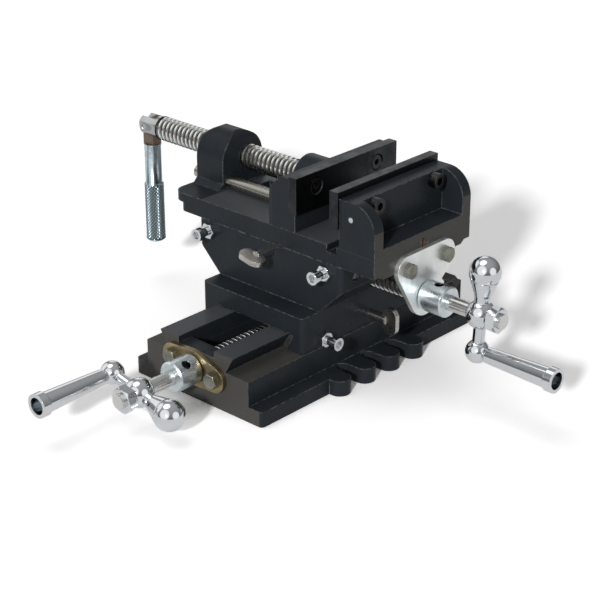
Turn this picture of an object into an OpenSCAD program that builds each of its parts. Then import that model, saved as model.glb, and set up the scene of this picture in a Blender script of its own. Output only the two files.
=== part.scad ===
// Cross slide vise: two dovetail slides at right angles under a screw vise.
// X runs along the jaws' travel, Y along the base ways, Z up from the foot of the base.
// Everything is drawn where the photograph shows it, with the jaws part open.

/* [Base] */
// Length of the base along its ways
base_length = 218; // [200:1:250]
// Width of the base flange without its fingers
flange_width = 118; // [114:1:128]
// Thickness of the base flange
flange_height = 11; // [8:0.5:13]
// Width of the base above the flange
base_body_width = 94; // [90:1:100]
// Height of the shoulders beside the ways
shoulder_height = 28.5; // [27:0.5:33]
// Height of the ways above the shoulders
way_rise = 12; // [10:0.5:14]
// Width over the two ways at their top
way_width = 67; // [62:1:70]
// Width of the channel between the ways
channel_width = 33; // [30:1:35]
// Slope of the dovetail flanks from the level
dovetail_angle = 60; // [55:1:65]

/* [Clamping fingers] */
// Distance from finger to finger
finger_pitch = 25; // [22:0.5:28]
// Width of one finger
finger_width = 15; // [12:0.5:16]
// How far the fingers stand out of the flange
finger_reach = 10; // [8:0.5:14]

/* [Saddle] */
// Length of both of the saddle's dovetails
saddle_length = 130; // [124:1:140]
// Where the saddle stands along the base
saddle_shift = 7.6; // [0:0.2:15]
// Thickness of the saddle over the ways
saddle_floor = 14; // [13:0.5:18]
// Height of the sloping part under the upper dovetail
flare_height = 18.5; // [17:0.5:22]
// Height of the straight part with the upper dovetail
wing_height = 18; // [17:0.5:22]

/* [Vise] */
// Width of the jaw plates
jaw_width = 100; // [96:1:110]
// Distance between the jaw plates
jaw_opening = 28.9; // [20:0.1:40]
// Height of the jaw plates' top above the slideway
jaw_rise = 38.3; // [36:0.5:42]
// Height of one jaw plate
plate_height = 25; // [22:0.5:28]
// Thickness of one jaw plate
plate_thick = 6.9; // [6.5:0.1:8]
// Thickness of the slab that carries the slideway
slab_thick = 13; // [12:0.5:16]
// Diameter of the vise screw
screw_d = 17.5; // [16:0.5:18]
// Length of the vise screw outside the movable jaw
screw_length = 142; // [132:1:160]
// Length of the knurled part of the handle
knurl_length = 46; // [36:1:54]

/* [Feeds] */
// Diameter of the two lead screws
lead_screw_d = 14; // [12:0.5:14]
// Height of the lower lead screw above the foot
lead_height = 24.5; // [23.5:0.5:25.5]
// Distance from the crank hub to the big ball
counter_arm = 28.5; // [26:0.5:32]
// Distance from the crank hub to the grip
grip_arm = 25.5; // [23:0.5:30]
// Length of the crank grip
grip_length = 53; // [46:1:60]
// Angle of the lower crank about its shaft
lower_crank_turn = -102.5; // [-180:0.5:180]
// Angle of the upper crank about its shaft
upper_crank_turn = -5; // [-180:0.5:180]

/* [Hidden] */
$fn = 64;
// Gap between faces that slide on each other
slide_gap = 0.2;
// Gap on the radius where a shaft turns or slides in a bore
running_gap = 0.05;
// Gap on the radius where a thread runs in its nut
thread_gap = 0.3;
// How much wider a clearance hole is than its bolt
bolt_slack = 0.4;
// How much wider a tapped hole is than its screw
tapped_slack = 0.2;
// How far a cutting shape goes past the face it opens
past = 1;

// Levels from the foot upward
way_top = shoulder_height + way_rise;
saddle_bottom = shoulder_height + slide_gap;
way_relief = 0.5;
saddle_ceiling = way_top + way_relief;
saddle_top = way_top + saddle_floor;
flare_top = saddle_top + flare_height;
table_top = flare_top + wing_height;
slab_bottom = table_top + slide_gap;
slideway = slab_bottom + slab_thick;
jaw_top = slideway + jaw_rise;
plate_proud = 4.5;
casting_top = jaw_top - plate_proud;
screw_rise = 18.1;
screw_height = slideway + screw_rise;
rod_rise = 5;
rod_height = slideway + rod_rise;
channel_drop = 12;
channel_floor = lead_height - channel_drop;
upper_lead_rise = 12;
upper_lead_height = saddle_top + upper_lead_rise;

// Dovetails
flank = 1 / tan(dovetail_angle);
flank_gap = slide_gap / sin(dovetail_angle);
gib_thick = 4;
gib_slack = 0.1;
gib_across = gib_thick / sin(dovetail_angle);
way_root = way_width - 2 * way_rise * flank;
tail_height = 12.2;
tail_bottom = slab_bottom - tail_height;
tail_width = 66;
tail_root = tail_width - 2 * tail_height * flank;
tail_relief = 0.6;
tail_floor = tail_bottom - tail_relief;
tail_channel = 32;

// Saddle and body plan
saddle_narrower = 2;
saddle_width = base_body_width - saddle_narrower;
body_narrower = 3;
body_width = jaw_width - body_narrower;
near_face = saddle_shift - body_width / 2;
table_reach = saddle_length / 2;
front_reach = 27.5;
ledge_reach = 26;
body_front = table_reach + front_reach;
ledge_end = -table_reach - ledge_reach;
ledge_step = 6.5;
ledge_round = 9;
lug_thick = 8;
lug_half_width = 27;
lug_drop = 9.7;
lug_bottom = slab_bottom - lug_drop;
edge_round = 3;

// Jaws along X
fixed_jaw_depth = 29.8;
seat_x = body_front - fixed_jaw_depth;
fixed_face = seat_x - plate_thick;
moving_face = fixed_face - jaw_opening;
moving_seat = moving_face - plate_thick;
jaw_wall = 12.3;
gusset = 8.5;
pocket_rise = 5.3;
pocket_floor = slideway + pocket_rise;
gusset_round = 18;
jaw_depth = 22.5;
jaw_back = moving_seat - jaw_depth;
jaw_overhang = 2.5;
chip_groove = 3.5;
chip_groove_past = 1.5;
chip_groove_width = plate_thick + chip_groove_past;
chip_groove_depth = 5;
plate_screw_spread = 60;
plate_screw_drop = 10;
plate_screw_height = jaw_top - plate_screw_drop;
plate_screw_depth = 4;
socket_across = 5;
side_pin_d = 3.5;
side_pin_length = 6;
side_pin_inset = 10;
side_pin_x = seat_x + side_pin_inset;
side_pin_drop = 6;
side_pin_height = plate_screw_height - side_pin_drop;
front_screw_d = 8;
front_screw_depth = 8;
front_screw_drop = 3;
front_screw_height = slideway - front_screw_drop;

// Screw boss and guide rod
boss_length = 25.5;
boss_inset = 1;
boss_back = ledge_end + boss_inset;
boss_front = boss_back + boss_length;
boss_r = 19.5;
boss_shift = -6.1;
boss_foot = 4;
boss_edge = 7;
rod_d = 9;
rod_shift = -19.6;
rod_grip = 16;
rod_past_boss = 5;
jaw_boss_r = 15.5;
jaw_boss_reach = 6.5;
jaw_boss_back = jaw_back - jaw_boss_reach;
slot_width = 20;
slot_past_boss = 10.5;
slot_back = boss_front + slot_past_boss;
slot_short = 5.5;
slot_front = fixed_face - slot_short;
tongue_long = 20;
keeper_width = 30;
keeper_thick = 6;
keeper_screw_d = 5;
keeper_screw_inset = 5;
keeper_screw_depth = 12;

// Vise screw
tip_d = 14;
tip_length = 20;
tip_neck_d = 10;
tip_neck_at = 12;
retaining_pin_d = 4;
head_length = 21;
head_chamfer = 4;
head_relief = 1.5;
head_d = screw_d - head_relief;
thread_end = jaw_boss_back - screw_length;
head_end = thread_end - head_length;
fork_inset = 8.5;
fork_x = head_end + fork_inset;
fork_slot = 8.4;
tongue_wide = 10.4;
handle_pin_d = 5;
sleeve_d = 12.2;
sleeve_start = 14.5;
sleeve_length = 30;
knurl_d = 14.6;
knurl_chamfer = 1.5;

// Feeds
journal_d = 10;
feed_plate = 3.6;
collar_d = 21;
collar_length = 19;
collar_gap = 0.4;
collar_chamfer = 1;
collar_hole_at = 0.55 * collar_length;
collar_hole_d = 6.5;
collar_screw_d = 6;
collar_screw_turn = -50;
lower_collar_turn = -35;
hub_d = 20;
hub_reach = 47;
big_ball_d = 21;
small_ball_d = 16;
big_neck_d = 10.5;
small_neck_d = 8;
hub_flat = 9;
crank_nut_across = 16;
crank_nut_thick = 6.5;
shaft_past_hub = 18;
grip_pin_d = 6;
grip_pin_rim = 3.5;
grip_clear = 1;
plate_bolt_d = 6;
plate_bolt_across = 10;
plate_bolt_head = 4;
plate_bolt_depth = 9;
plate_bolt_spread = 38;
shaft_slack = 1;
lead_channel_slack = 3;
lower_plate_turn = 7.5;
lower_plate_r = 12.5;
lower_ear_r = 9;
upper_ear_rise = 23;
base_front = -base_length / 2;
front_wall = 12;
front_wall_drop = 4.5;
front_wall_top = way_top - front_wall_drop;
lower_hub_y = base_front - feed_plate - hub_reach;
upper_hub_short = 2;
upper_hub_x = body_front + feed_plate + hub_reach - upper_hub_short;
feed_nut_length = 26;
feed_nut_width = 24;
feed_nut_drop = 10;
spigot_d = 16;
spigot_length = 9;
lower_screw_short = 21;
upper_screw_short = 10;

// Clamping screws
gib_screw_d = 6;
gib_nut_across = 10;
gib_nut_thick = 5;
gib_screw_out = 15;
gib_head = 4.5;
gib_head_d = 9;
gib_hole_depth = 24;
upper_gib_margin = 12;
upper_gib_spread = saddle_length - 2 * upper_gib_margin;
lower_gib_margin = 19.5;
lower_gib_spread = saddle_length - 2 * lower_gib_margin;
lock_screw_d = 7;
lock_shift = 3;
lock_rise = 1;
upper_lock_turn = 12;
lower_gib_height = shoulder_height + way_rise / 2;
upper_gib_height = tail_bottom + tail_height / 2;

// Shared shapes

// A profile drawn in Y and Z, drawn out along +X
module along_x(start, length)
    translate([start, 0, 0])
        rotate([90, 0, 90])
            linear_extrude(length)
                children();

// A profile drawn in X and Z, drawn out along +Y
module along_y(start, length)
    translate([0, start + length, 0])
        rotate([90, 0, 0])
            linear_extrude(length)
                children();

// A round bar along +X from a point
module bar_x(at, length, d)
    translate(at)
        rotate([0, 90, 0])
            cylinder(h = length, d = d);

// A round bar along +Y from a point
module bar_y(at, length, d)
    translate(at)
        rotate([-90, 0, 0])
            cylinder(h = length, d = d);

// A rectangle about the origin with rounded corners
module rounded_rectangle(across, along, r) {
    square([across - 2 * r, along], center = true);
    square([across, along - 2 * r], center = true);
    for (sx = [-1, 1], sy = [-1, 1])
        translate([sx * (across / 2 - r), sy * (along / 2 - r)])
            circle(r = r);
}

// Two discs joined by their outer tangents
module strap(p1, r1, p2, r2) {
    run = p2 - p1;
    heading = atan2(run[1], run[0]);
    open = acos((r1 - r2) / norm(run));
    function rim(p, r, side) = p + r * [cos(heading + side * open), sin(heading + side * open)];
    translate(p1)
        circle(r = r1);
    translate(p2)
        circle(r = r2);
    polygon([rim(p1, r1, 1), rim(p1, r1, -1), rim(p2, r2, -1), rim(p2, r2, 1)]);
}

// A hexagon prism along +Z with a bore
module hex_nut(across, thick, bore)
    difference() {
        cylinder(h = thick, d = across / cos(30), $fn = 6);
        translate([0, 0, -past])
            cylinder(h = thick + 2 * past, d = bore);
    }

// A hex bolt along +Z, its head above the seat at zero
module hex_bolt(d, across, head, length) {
    cylinder(h = head, d = across / cos(30), $fn = 6);
    translate([0, 0, -length])
        cylinder(h = length + past, d = d);
}

// Places for the two gib screws of each slide, drawn pointing out of the wall along +Z
module at_lower_gib_screws()
    for (side = [-1, 1])
        translate([saddle_width / 2, saddle_shift + side * lower_gib_spread / 2, lower_gib_height])
            rotate([0, 90, 0])
                children();

module at_upper_gib_screws()
    for (side = [-1, 1])
        translate([side * upper_gib_spread / 2, near_face, upper_gib_height])
            rotate([90, 0, 0])
                children();

module at_lower_lock()
    translate([saddle_width / 2, saddle_shift + lock_shift, lower_gib_height + lock_rise])
        rotate([0, 90, 0])
            children();

module at_upper_lock()
    translate([lock_shift, near_face, upper_gib_height + lock_rise])
        rotate([90, 0, 0])
            rotate(-upper_lock_turn)
                children();

// Places for the cranks: +X points out along the shaft and +Z to the big ball
module at_lower_crank()
    translate([0, lower_hub_y, lead_height])
        rotate([0, 0, -90])
            rotate([lower_crank_turn, 0, 0])
                children();

module at_upper_crank()
    translate([upper_hub_x, saddle_shift, upper_lead_height])
        rotate([upper_crank_turn, 0, 0])
            children();

// Places for the bearing plates' bolts, drawn pointing out along +Z
module at_lower_plate_bolts()
    translate([0, base_front, lead_height])
        rotate([90, 0, 0])
            rotate(-lower_plate_turn)
                for (side = [-1, 1])
                    translate([side * plate_bolt_spread / 2, 0, 0])
                        children();

module at_upper_plate_bolts()
    for (side = [-1, 1])
        translate([body_front, saddle_shift + side * plate_bolt_spread / 2,
                   upper_lead_height + upper_ear_rise])
            rotate([0, 90, 0])
                children();

// Base

// Half of the base's section, mirrored to make the whole
module base_half_section()
    polygon([
        [0, 0],
        [flange_width / 2, 0],
        [flange_width / 2, flange_height],
        [base_body_width / 2, flange_height],
        [base_body_width / 2, shoulder_height],
        [way_root / 2, shoulder_height],
        [way_width / 2, way_top],
        [channel_width / 2, way_top],
        [channel_width / 2, channel_floor],
        [0, channel_floor]
    ]);

module base_fingers()
    linear_extrude(flange_height)
        for (side = [-1, 1], i = [-1.5 : 1.5])
            translate([side * (flange_width / 2 + finger_reach - finger_width / 2), i * finger_pitch]) {
                circle(d = finger_width);
                translate([side * -finger_width / 2, 0])
                    square([finger_width, finger_width], center = true);
            }

module base_slots() {
    slot = finger_pitch - finger_width;
    land = 1.5;
    inner = base_body_width / 2 + slot / 2 + land;
    translate([0, 0, -past])
        linear_extrude(flange_height + 2 * past)
            for (side = [-1, 1], i = [-1 : 1])
                translate([side * inner, i * finger_pitch]) {
                    circle(d = slot);
                    translate([side * flange_width / 4, 0])
                        square([flange_width / 2, slot], center = true);
                }
}

// Three bays under each shoulder, with ribs between them
module base_bays() {
    wall = 6;
    roof = 7.5;
    corner = 4;
    inner = channel_width / 2 + wall / 2;
    outer = base_body_width / 2 - wall;
    bay = (base_length - 2 * front_wall - 2 * wall) / 3;
    for (side = [-1, 1], i = [-1 : 1])
        translate([side * (inner + outer) / 2, i * (bay + wall), -past])
            linear_extrude(shoulder_height - roof + past)
                rounded_rectangle(outer - inner, bay, corner);
}

module base_casting()
    color([0.11, 0.12, 0.14])
        difference() {
            union() {
                intersection() {
                    along_y(base_front, base_length) {
                        base_half_section();
                        mirror([1, 0])
                            base_half_section();
                    }
                    linear_extrude(way_top)
                        rounded_rectangle(flange_width, base_length, edge_round);
                }
                base_fingers();
                translate([-channel_width / 2 - past, base_front, channel_floor - past])
                    cube([channel_width + 2 * past, front_wall, front_wall_top - channel_floor + past]);
            }
            base_slots();
            base_bays();
            bar_y([0, base_front - past, lead_height], front_wall + 2 * past, journal_d + shaft_slack);
            at_lower_plate_bolts()
                translate([0, 0, -plate_bolt_depth])
                    cylinder(h = plate_bolt_depth + past, d = plate_bolt_d + tapped_slack);
        }

// Lower feed

module lower_plate_outline() {
    ear = plate_bolt_spread / 2;
    for (side = [-1, 1])
        strap([0, 0], lower_plate_r, [side * ear, 0], lower_ear_r);
}

module lower_bearing_plate()
    color([0.78, 0.68, 0.42])
        difference() {
            translate([0, base_front, lead_height])
                rotate([90, 0, 0])
                    rotate(-lower_plate_turn)
                        linear_extrude(feed_plate)
                            lower_plate_outline();
            bar_y([0, base_front - feed_plate - past, lead_height], feed_plate + 2 * past,
                  journal_d + 2 * running_gap);
            at_lower_plate_bolts()
                cylinder(h = feed_plate + past, d = plate_bolt_d + bolt_slack);
        }

module lower_plate_bolts()
    color([0.75, 0.75, 0.72])
        at_lower_plate_bolts()
            translate([0, 0, feed_plate])
                hex_bolt(plate_bolt_d, plate_bolt_across, plate_bolt_head,
                         feed_plate + plate_bolt_depth - past);

module lower_lead_screw()
    color([0.72, 0.72, 0.7]) {
        thread_start = base_front + front_wall + collar_gap;
        thread_stop = base_length / 2 - lower_screw_short;
        shaft_end = lower_hub_y - shaft_past_hub;
        bar_y([0, thread_start, lead_height], thread_stop - thread_start, lead_screw_d);
        bar_y([0, shaft_end, lead_height], thread_start - shaft_end + past, journal_d);
    }

// A barrel along +X with a cross hole, its bore a close fit on the shaft
module feed_collar()
    difference() {
        rotate([0, 90, 0]) {
            cylinder(h = collar_chamfer, d1 = collar_d - 2 * collar_chamfer, d2 = collar_d);
            translate([0, 0, collar_chamfer])
                cylinder(h = collar_length - 2 * collar_chamfer, d = collar_d);
            translate([0, 0, collar_length - collar_chamfer])
                cylinder(h = collar_chamfer, d1 = collar_d, d2 = collar_d - 2 * collar_chamfer);
        }
        bar_x([-past, 0, 0], collar_length + 2 * past, journal_d + 2 * running_gap);
        translate([collar_hole_at, 0, 0])
            cylinder(h = collar_d, d = collar_hole_d);
    }

module lower_feed_collar()
    color([0.8, 0.81, 0.82])
        translate([0, base_front - feed_plate - collar_gap, lead_height])
            rotate([0, 0, -90])
                rotate([lower_collar_turn, 0, 0])
                    feed_collar();

// A turned bar with a ball at each end and a ball hub faced flat for the shaft
module crank_arm() {
    cone_start = counter_arm - 0.78 * big_ball_d;
    cone_length = 0.5 * big_ball_d;
    cone_d = 0.86 * big_ball_d;
    pin_seat = -2;
    difference() {
        union() {
            translate([0, 0, counter_arm])
                sphere(d = big_ball_d);
            translate([0, 0, cone_start])
                cylinder(h = cone_length, d1 = big_neck_d, d2 = cone_d);
            cylinder(h = cone_start + past, d = big_neck_d);
            sphere(d = hub_d);
            translate([0, 0, -grip_arm])
                cylinder(h = grip_arm, d = small_neck_d);
            translate([0, 0, -grip_arm])
                sphere(d = small_ball_d);
        }
        bar_x([-hub_d, 0, 0], 2 * hub_d, journal_d + 2 * running_gap);
        for (side = [-1, 1])
            translate([side * (hub_flat + hub_d / 2), 0, 0])
                cube(hub_d, center = true);
        bar_x([pin_seat, 0, -grip_arm], small_ball_d, grip_pin_d);
    }
}

module crank_nut()
    translate([hub_flat, 0, 0])
        rotate([0, 90, 0])
            hex_nut(crank_nut_across, crank_nut_thick, journal_d + 2 * running_gap);

// Distances along the grip from the small ball's centre
grip_start = small_ball_d / 2 + grip_clear;
grip_end = grip_start + grip_length;
grip_hollow_depth = 18;
grip_hollow = grip_end - grip_hollow_depth;

module grip_pin() {
    seat = -2;
    head = 3;
    head_d = grip_pin_d + grip_pin_rim;
    bar_x([seat, 0, -grip_arm], grip_hollow + collar_gap - seat, grip_pin_d);
    bar_x([grip_hollow + collar_gap, 0, -grip_arm], head, head_d);
}

module grip() {
    thin_end = 10.8;
    thick_end = 14;
    lip_d = 16.4;
    lip = 5.5;
    lip_slope = 1;
    hollow_d = 11.5;
    translate([0, 0, -grip_arm])
        rotate([0, 90, 0])
            difference() {
                union() {
                    translate([0, 0, grip_start])
                        cylinder(h = grip_length - lip, d1 = thin_end, d2 = thick_end);
                    translate([0, 0, grip_end - lip - lip_slope])
                        cylinder(h = lip_slope, d1 = thick_end, d2 = lip_d);
                    translate([0, 0, grip_end - lip])
                        cylinder(h = lip, d = lip_d);
                }
                translate([0, 0, grip_start - past])
                    cylinder(h = grip_length, d = grip_pin_d + 2 * running_gap);
                translate([0, 0, grip_hollow])
                    cylinder(h = grip_hollow_depth + past, d = hollow_d);
            }
}

module lower_crank_arm()
    color([0.82, 0.83, 0.85])
        at_lower_crank()
            crank_arm();

module lower_crank_nut()
    color([0.78, 0.79, 0.8])
        at_lower_crank()
            crank_nut();

module lower_grip_pin()
    color([0.5, 0.5, 0.5])
        at_lower_crank()
            grip_pin();

module lower_grip()
    color([0.82, 0.83, 0.85])
        at_lower_crank()
            grip();

// Saddle

// The space in the saddle for the base ways and the gib on their +X side
module way_space() {
    left = -way_root / 2 - flank_gap;
    right = way_root / 2 + flank_gap + gib_across + gib_slack;
    rise = saddle_ceiling - shoulder_height;
    polygon([
        [left + past * flank, shoulder_height - past],
        [right - past * flank, shoulder_height - past],
        [right + rise * flank, saddle_ceiling],
        [left - rise * flank, saddle_ceiling]
    ]);
}

// The space in the saddle for the body's dovetail and the gib on its -Y side
module tail_space() {
    near = saddle_shift - tail_width / 2 - flank_gap - gib_across - gib_slack;
    far = saddle_shift + tail_width / 2 + flank_gap;
    drop = tail_bottom - tail_floor;
    rise = table_top + past - tail_bottom;
    polygon([
        [near - drop * flank, tail_floor],
        [far + drop * flank, tail_floor],
        [far - rise * flank, table_top + past],
        [near + rise * flank, table_top + past]
    ]);
}

module saddle_upper_profile()
    polygon([
        [-saddle_width / 2, saddle_top - past],
        [saddle_width / 2, saddle_top - past],
        [saddle_width / 2, saddle_top],
        [table_reach, flare_top],
        [table_reach, table_top],
        [-table_reach, table_top],
        [-table_reach, flare_top],
        [-saddle_width / 2, saddle_top]
    ]);

// Holes for the screws that press on the gibs
module saddle_screw_holes() {
    at_lower_gib_screws()
        gib_hole(gib_screw_d + tapped_slack);
    at_upper_gib_screws()
        gib_hole(gib_screw_d + tapped_slack);
    at_lower_lock()
        gib_hole(lock_screw_d + 2 * running_gap);
    at_upper_lock()
        gib_hole(lock_screw_d + 2 * running_gap);
}

module gib_hole(d)
    translate([0, 0, -gib_hole_depth])
        cylinder(h = gib_hole_depth + past, d = d);

module saddle_casting()
    color([0.11, 0.12, 0.14])
        difference() {
            union() {
                translate([0, saddle_shift, saddle_bottom])
                    linear_extrude(saddle_top - saddle_bottom)
                        rounded_rectangle(saddle_width, saddle_length, edge_round);
                intersection() {
                    along_y(near_face, body_width)
                        saddle_upper_profile();
                    translate([0, saddle_shift, 0])
                        linear_extrude(table_top)
                            rounded_rectangle(saddle_length, body_width, edge_round);
                }
            }
            along_y(saddle_shift - saddle_length / 2 - past, saddle_length + 2 * past)
                way_space();
            along_x(-table_reach - past, saddle_length + 2 * past)
                tail_space();
            // Channel for the upper lead screw and the pocket its nut is let into
            bar_x([-table_reach - past, saddle_shift, upper_lead_height], saddle_length + 2 * past,
                  lead_screw_d + lead_channel_slack);
            translate([0, saddle_shift, upper_lead_height - feed_nut_drop])
                linear_extrude(tail_floor - upper_lead_height + feed_nut_drop + past)
                    square([feed_nut_length + 2 * slide_gap, feed_nut_width + 2 * slide_gap], center = true);
            // Hole for the spigot of the lower nut
            translate([0, saddle_shift, saddle_ceiling - past])
                cylinder(h = spigot_length + past, d = spigot_d + tapped_slack);
            saddle_screw_holes();
        }

// Gibs: strips with the section of a slanted box
module lower_gib() {
    foot = way_root / 2 + flank_gap;
    lift = 0.5;
    rise = way_rise - lift;
    end_gap = 1;
    color([0.45, 0.45, 0.45])
        along_y(saddle_shift - saddle_length / 2 + end_gap, saddle_length - 2 * end_gap)
            polygon([
                [foot + lift * flank, shoulder_height + lift],
                [foot + gib_across + lift * flank, shoulder_height + lift],
                [foot + gib_across + rise * flank, shoulder_height + rise],
                [foot + rise * flank, shoulder_height + rise]
            ]);
}

module upper_gib() {
    foot = saddle_shift - tail_width / 2 - flank_gap;
    lift = 0.2;
    end_gap = 1;
    rise = tail_height - end_gap;
    color([0.45, 0.45, 0.45])
        along_x(-table_reach + end_gap, saddle_length - 2 * end_gap)
            polygon([
                [foot + lift * flank, tail_bottom + lift],
                [foot - gib_across + lift * flank, tail_bottom + lift],
                [foot - gib_across + rise * flank, tail_bottom + rise],
                [foot + rise * flank, tail_bottom + rise]
            ]);
}

// How far it is from a wall to the gib behind it, at the screws' height
lower_gib_depth = saddle_width / 2 - way_root / 2 - flank_gap - gib_across - way_rise / 2 * flank;
upper_gib_depth = body_width / 2 - tail_width / 2 - flank_gap - gib_across + tail_height / 2 * flank;

// A headed screw through the wall, its shank ending just short of the gib
module gib_screw(depth) {
    tip = depth - gib_screw_d / 2 * flank - slide_gap;
    socket_floor = 1.5;
    translate([0, 0, -tip])
        cylinder(h = tip + gib_screw_out - gib_head + past, d = gib_screw_d);
    translate([0, 0, gib_screw_out - gib_head])
        difference() {
            cylinder(h = gib_head, d = gib_head_d);
            translate([0, 0, socket_floor])
                cylinder(h = gib_head, d = socket_across / cos(30), $fn = 6);
        }
}

module lower_gib_screws()
    color([0.85, 0.85, 0.84])
        at_lower_gib_screws()
            gib_screw(lower_gib_depth);

module lower_gib_nuts()
    color([0.85, 0.85, 0.84])
        at_lower_gib_screws()
            hex_nut(gib_nut_across, gib_nut_thick, gib_screw_d + tapped_slack);

module upper_gib_screws()
    color([0.85, 0.85, 0.84])
        at_upper_gib_screws()
            gib_screw(upper_gib_depth);

module upper_gib_nuts()
    color([0.85, 0.85, 0.84])
        at_upper_gib_screws()
            hex_nut(gib_nut_across, gib_nut_thick, gib_screw_d + tapped_slack);

// A thumb screw with a flat oval head in the plane of its axis
module spade_screw(depth) {
    tip = depth - (lock_screw_d / 2 + lock_rise) * flank - slide_gap;
    shank = 15;
    head_width = 19;
    head_deep = 12;
    head_round = 5.5;
    head_thick = 3.5;
    head_at = 18;
    translate([0, 0, -tip])
        cylinder(h = tip + shank, d = lock_screw_d);
    translate([0, head_thick / 2, head_at])
        rotate([90, 0, 0])
            linear_extrude(head_thick)
                rounded_rectangle(head_width, head_deep, head_round);
}

module lower_lock_screw()
    color([0.2, 0.19, 0.18])
        at_lower_lock()
            spade_screw(lower_gib_depth);

module upper_lock_screw()
    color([0.2, 0.19, 0.18])
        at_upper_lock()
            spade_screw(upper_gib_depth);

// Feed nuts, bored plain for the lead screws
module lower_feed_nut() {
    side_gap = 2.5;
    across = channel_width - 2 * side_gap;
    color([0.72, 0.58, 0.3])
        difference() {
            union() {
                translate([-across / 2, saddle_shift - feed_nut_length / 2, lead_height - feed_nut_drop])
                    cube([across, feed_nut_length, saddle_ceiling - lead_height + feed_nut_drop]);
                translate([0, saddle_shift, saddle_ceiling - past])
                    cylinder(h = spigot_length + past / 2, d = spigot_d);
            }
            bar_y([0, saddle_shift - feed_nut_length / 2 - past, lead_height],
                  feed_nut_length + 2 * past, lead_screw_d + 2 * thread_gap);
        }
}

module upper_feed_nut() {
    bottom = upper_lead_height - feed_nut_drop + slide_gap;
    color([0.72, 0.58, 0.3])
        difference() {
            translate([-feed_nut_length / 2, saddle_shift - feed_nut_width / 2, bottom])
                cube([feed_nut_length, feed_nut_width, tail_floor - slide_gap - bottom]);
            bar_x([-feed_nut_length / 2 - past, saddle_shift, upper_lead_height],
                  feed_nut_length + 2 * past, lead_screw_d + 2 * thread_gap);
        }
}

// Vise body

// The slab seen from above: rounded at the ledge, square at the front
module slab_plan(end, r) {
    long = body_front - end;
    translate([end + long / 2, saddle_shift])
        rounded_rectangle(long, body_width, r);
    translate([body_front - long / 2, near_face])
        square([long / 2, body_width]);
}

module slab() {
    translate([0, 0, slab_bottom + slab_thick / 2])
        linear_extrude(slab_thick / 2)
            slab_plan(ledge_end, ledge_round);
    translate([0, 0, slab_bottom])
        linear_extrude(slab_thick / 2 + past)
            slab_plan(ledge_end + ledge_step, ledge_round - edge_round);
}

// The two dovetail rails under the slab
module tail_section()
    difference() {
        polygon([
            [saddle_shift - tail_width / 2, tail_bottom],
            [saddle_shift + tail_width / 2, tail_bottom],
            [saddle_shift + tail_root / 2, slab_bottom],
            [saddle_shift + tail_root / 2, slab_bottom + past],
            [saddle_shift - tail_root / 2, slab_bottom + past],
            [saddle_shift - tail_root / 2, slab_bottom]
        ]);
        translate([saddle_shift - tail_channel / 2, tail_bottom - past])
            square([tail_channel, slab_bottom - tail_bottom + past]);
    }

// Side view of the fixed jaw's wall and gussets
module gusset_profile() {
    crown = body_front - gusset_round;
    translate([seat_x, slideway - past])
        square([crown - seat_x, casting_top - slideway + past]);
    translate([seat_x, slideway - past])
        square([body_front - seat_x, casting_top - gusset_round - slideway + past]);
    translate([crown, casting_top - gusset_round])
        intersection() {
            circle(r = gusset_round);
            square(gusset_round);
        }
}

module fixed_jaw()
    difference() {
        along_y(near_face, body_width)
            gusset_profile();
        translate([seat_x + jaw_wall, near_face + gusset, pocket_floor])
            cube([body_front - seat_x, body_width - 2 * gusset, jaw_rise]);
    }

// The front edge of the body with the lug that backs the bearing plate
module front_lug() {
    lip = 2.5;
    slope = 4;
    corner = 9;
    lug_r = 6;
    lug_tall = slideway - lug_bottom;
    along_x(body_front - lug_thick, lug_thick) {
        polygon([
            [near_face, slideway],
            [near_face, slab_bottom + slope],
            [near_face + corner, slab_bottom - lip],
            [near_face + body_width - corner, slab_bottom - lip],
            [near_face + body_width, slab_bottom + slope],
            [near_face + body_width, slideway]
        ]);
        translate([saddle_shift, slideway - lug_tall / 2])
            rounded_rectangle(2 * lug_half_width, lug_tall, lug_r);
    }
}

// End view of the screw boss: an arch on straight legs with a sloped foot
module boss_profile() {
    middle = saddle_shift + boss_shift;
    translate([middle, screw_height])
        circle(r = boss_r);
    translate([middle - boss_r, slideway - past])
        square([2 * boss_r, screw_height - slideway + past]);
    polygon([
        [middle - boss_r - boss_foot, slideway],
        [middle + boss_r + boss_foot, slideway],
        [middle + boss_r, slideway + boss_foot],
        [middle - boss_r, slideway + boss_foot]
    ]);
}

// The boss with its two upper edges rounded over
module boss() {
    tall = screw_height + boss_r - slideway + 2 * boss_edge;
    intersection() {
        along_x(boss_back, boss_length)
            boss_profile();
        along_y(near_face, body_width)
            translate([boss_back + boss_length / 2, screw_height + boss_r - tall / 2])
                rounded_rectangle(boss_length, tall, boss_edge);
    }
}

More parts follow.
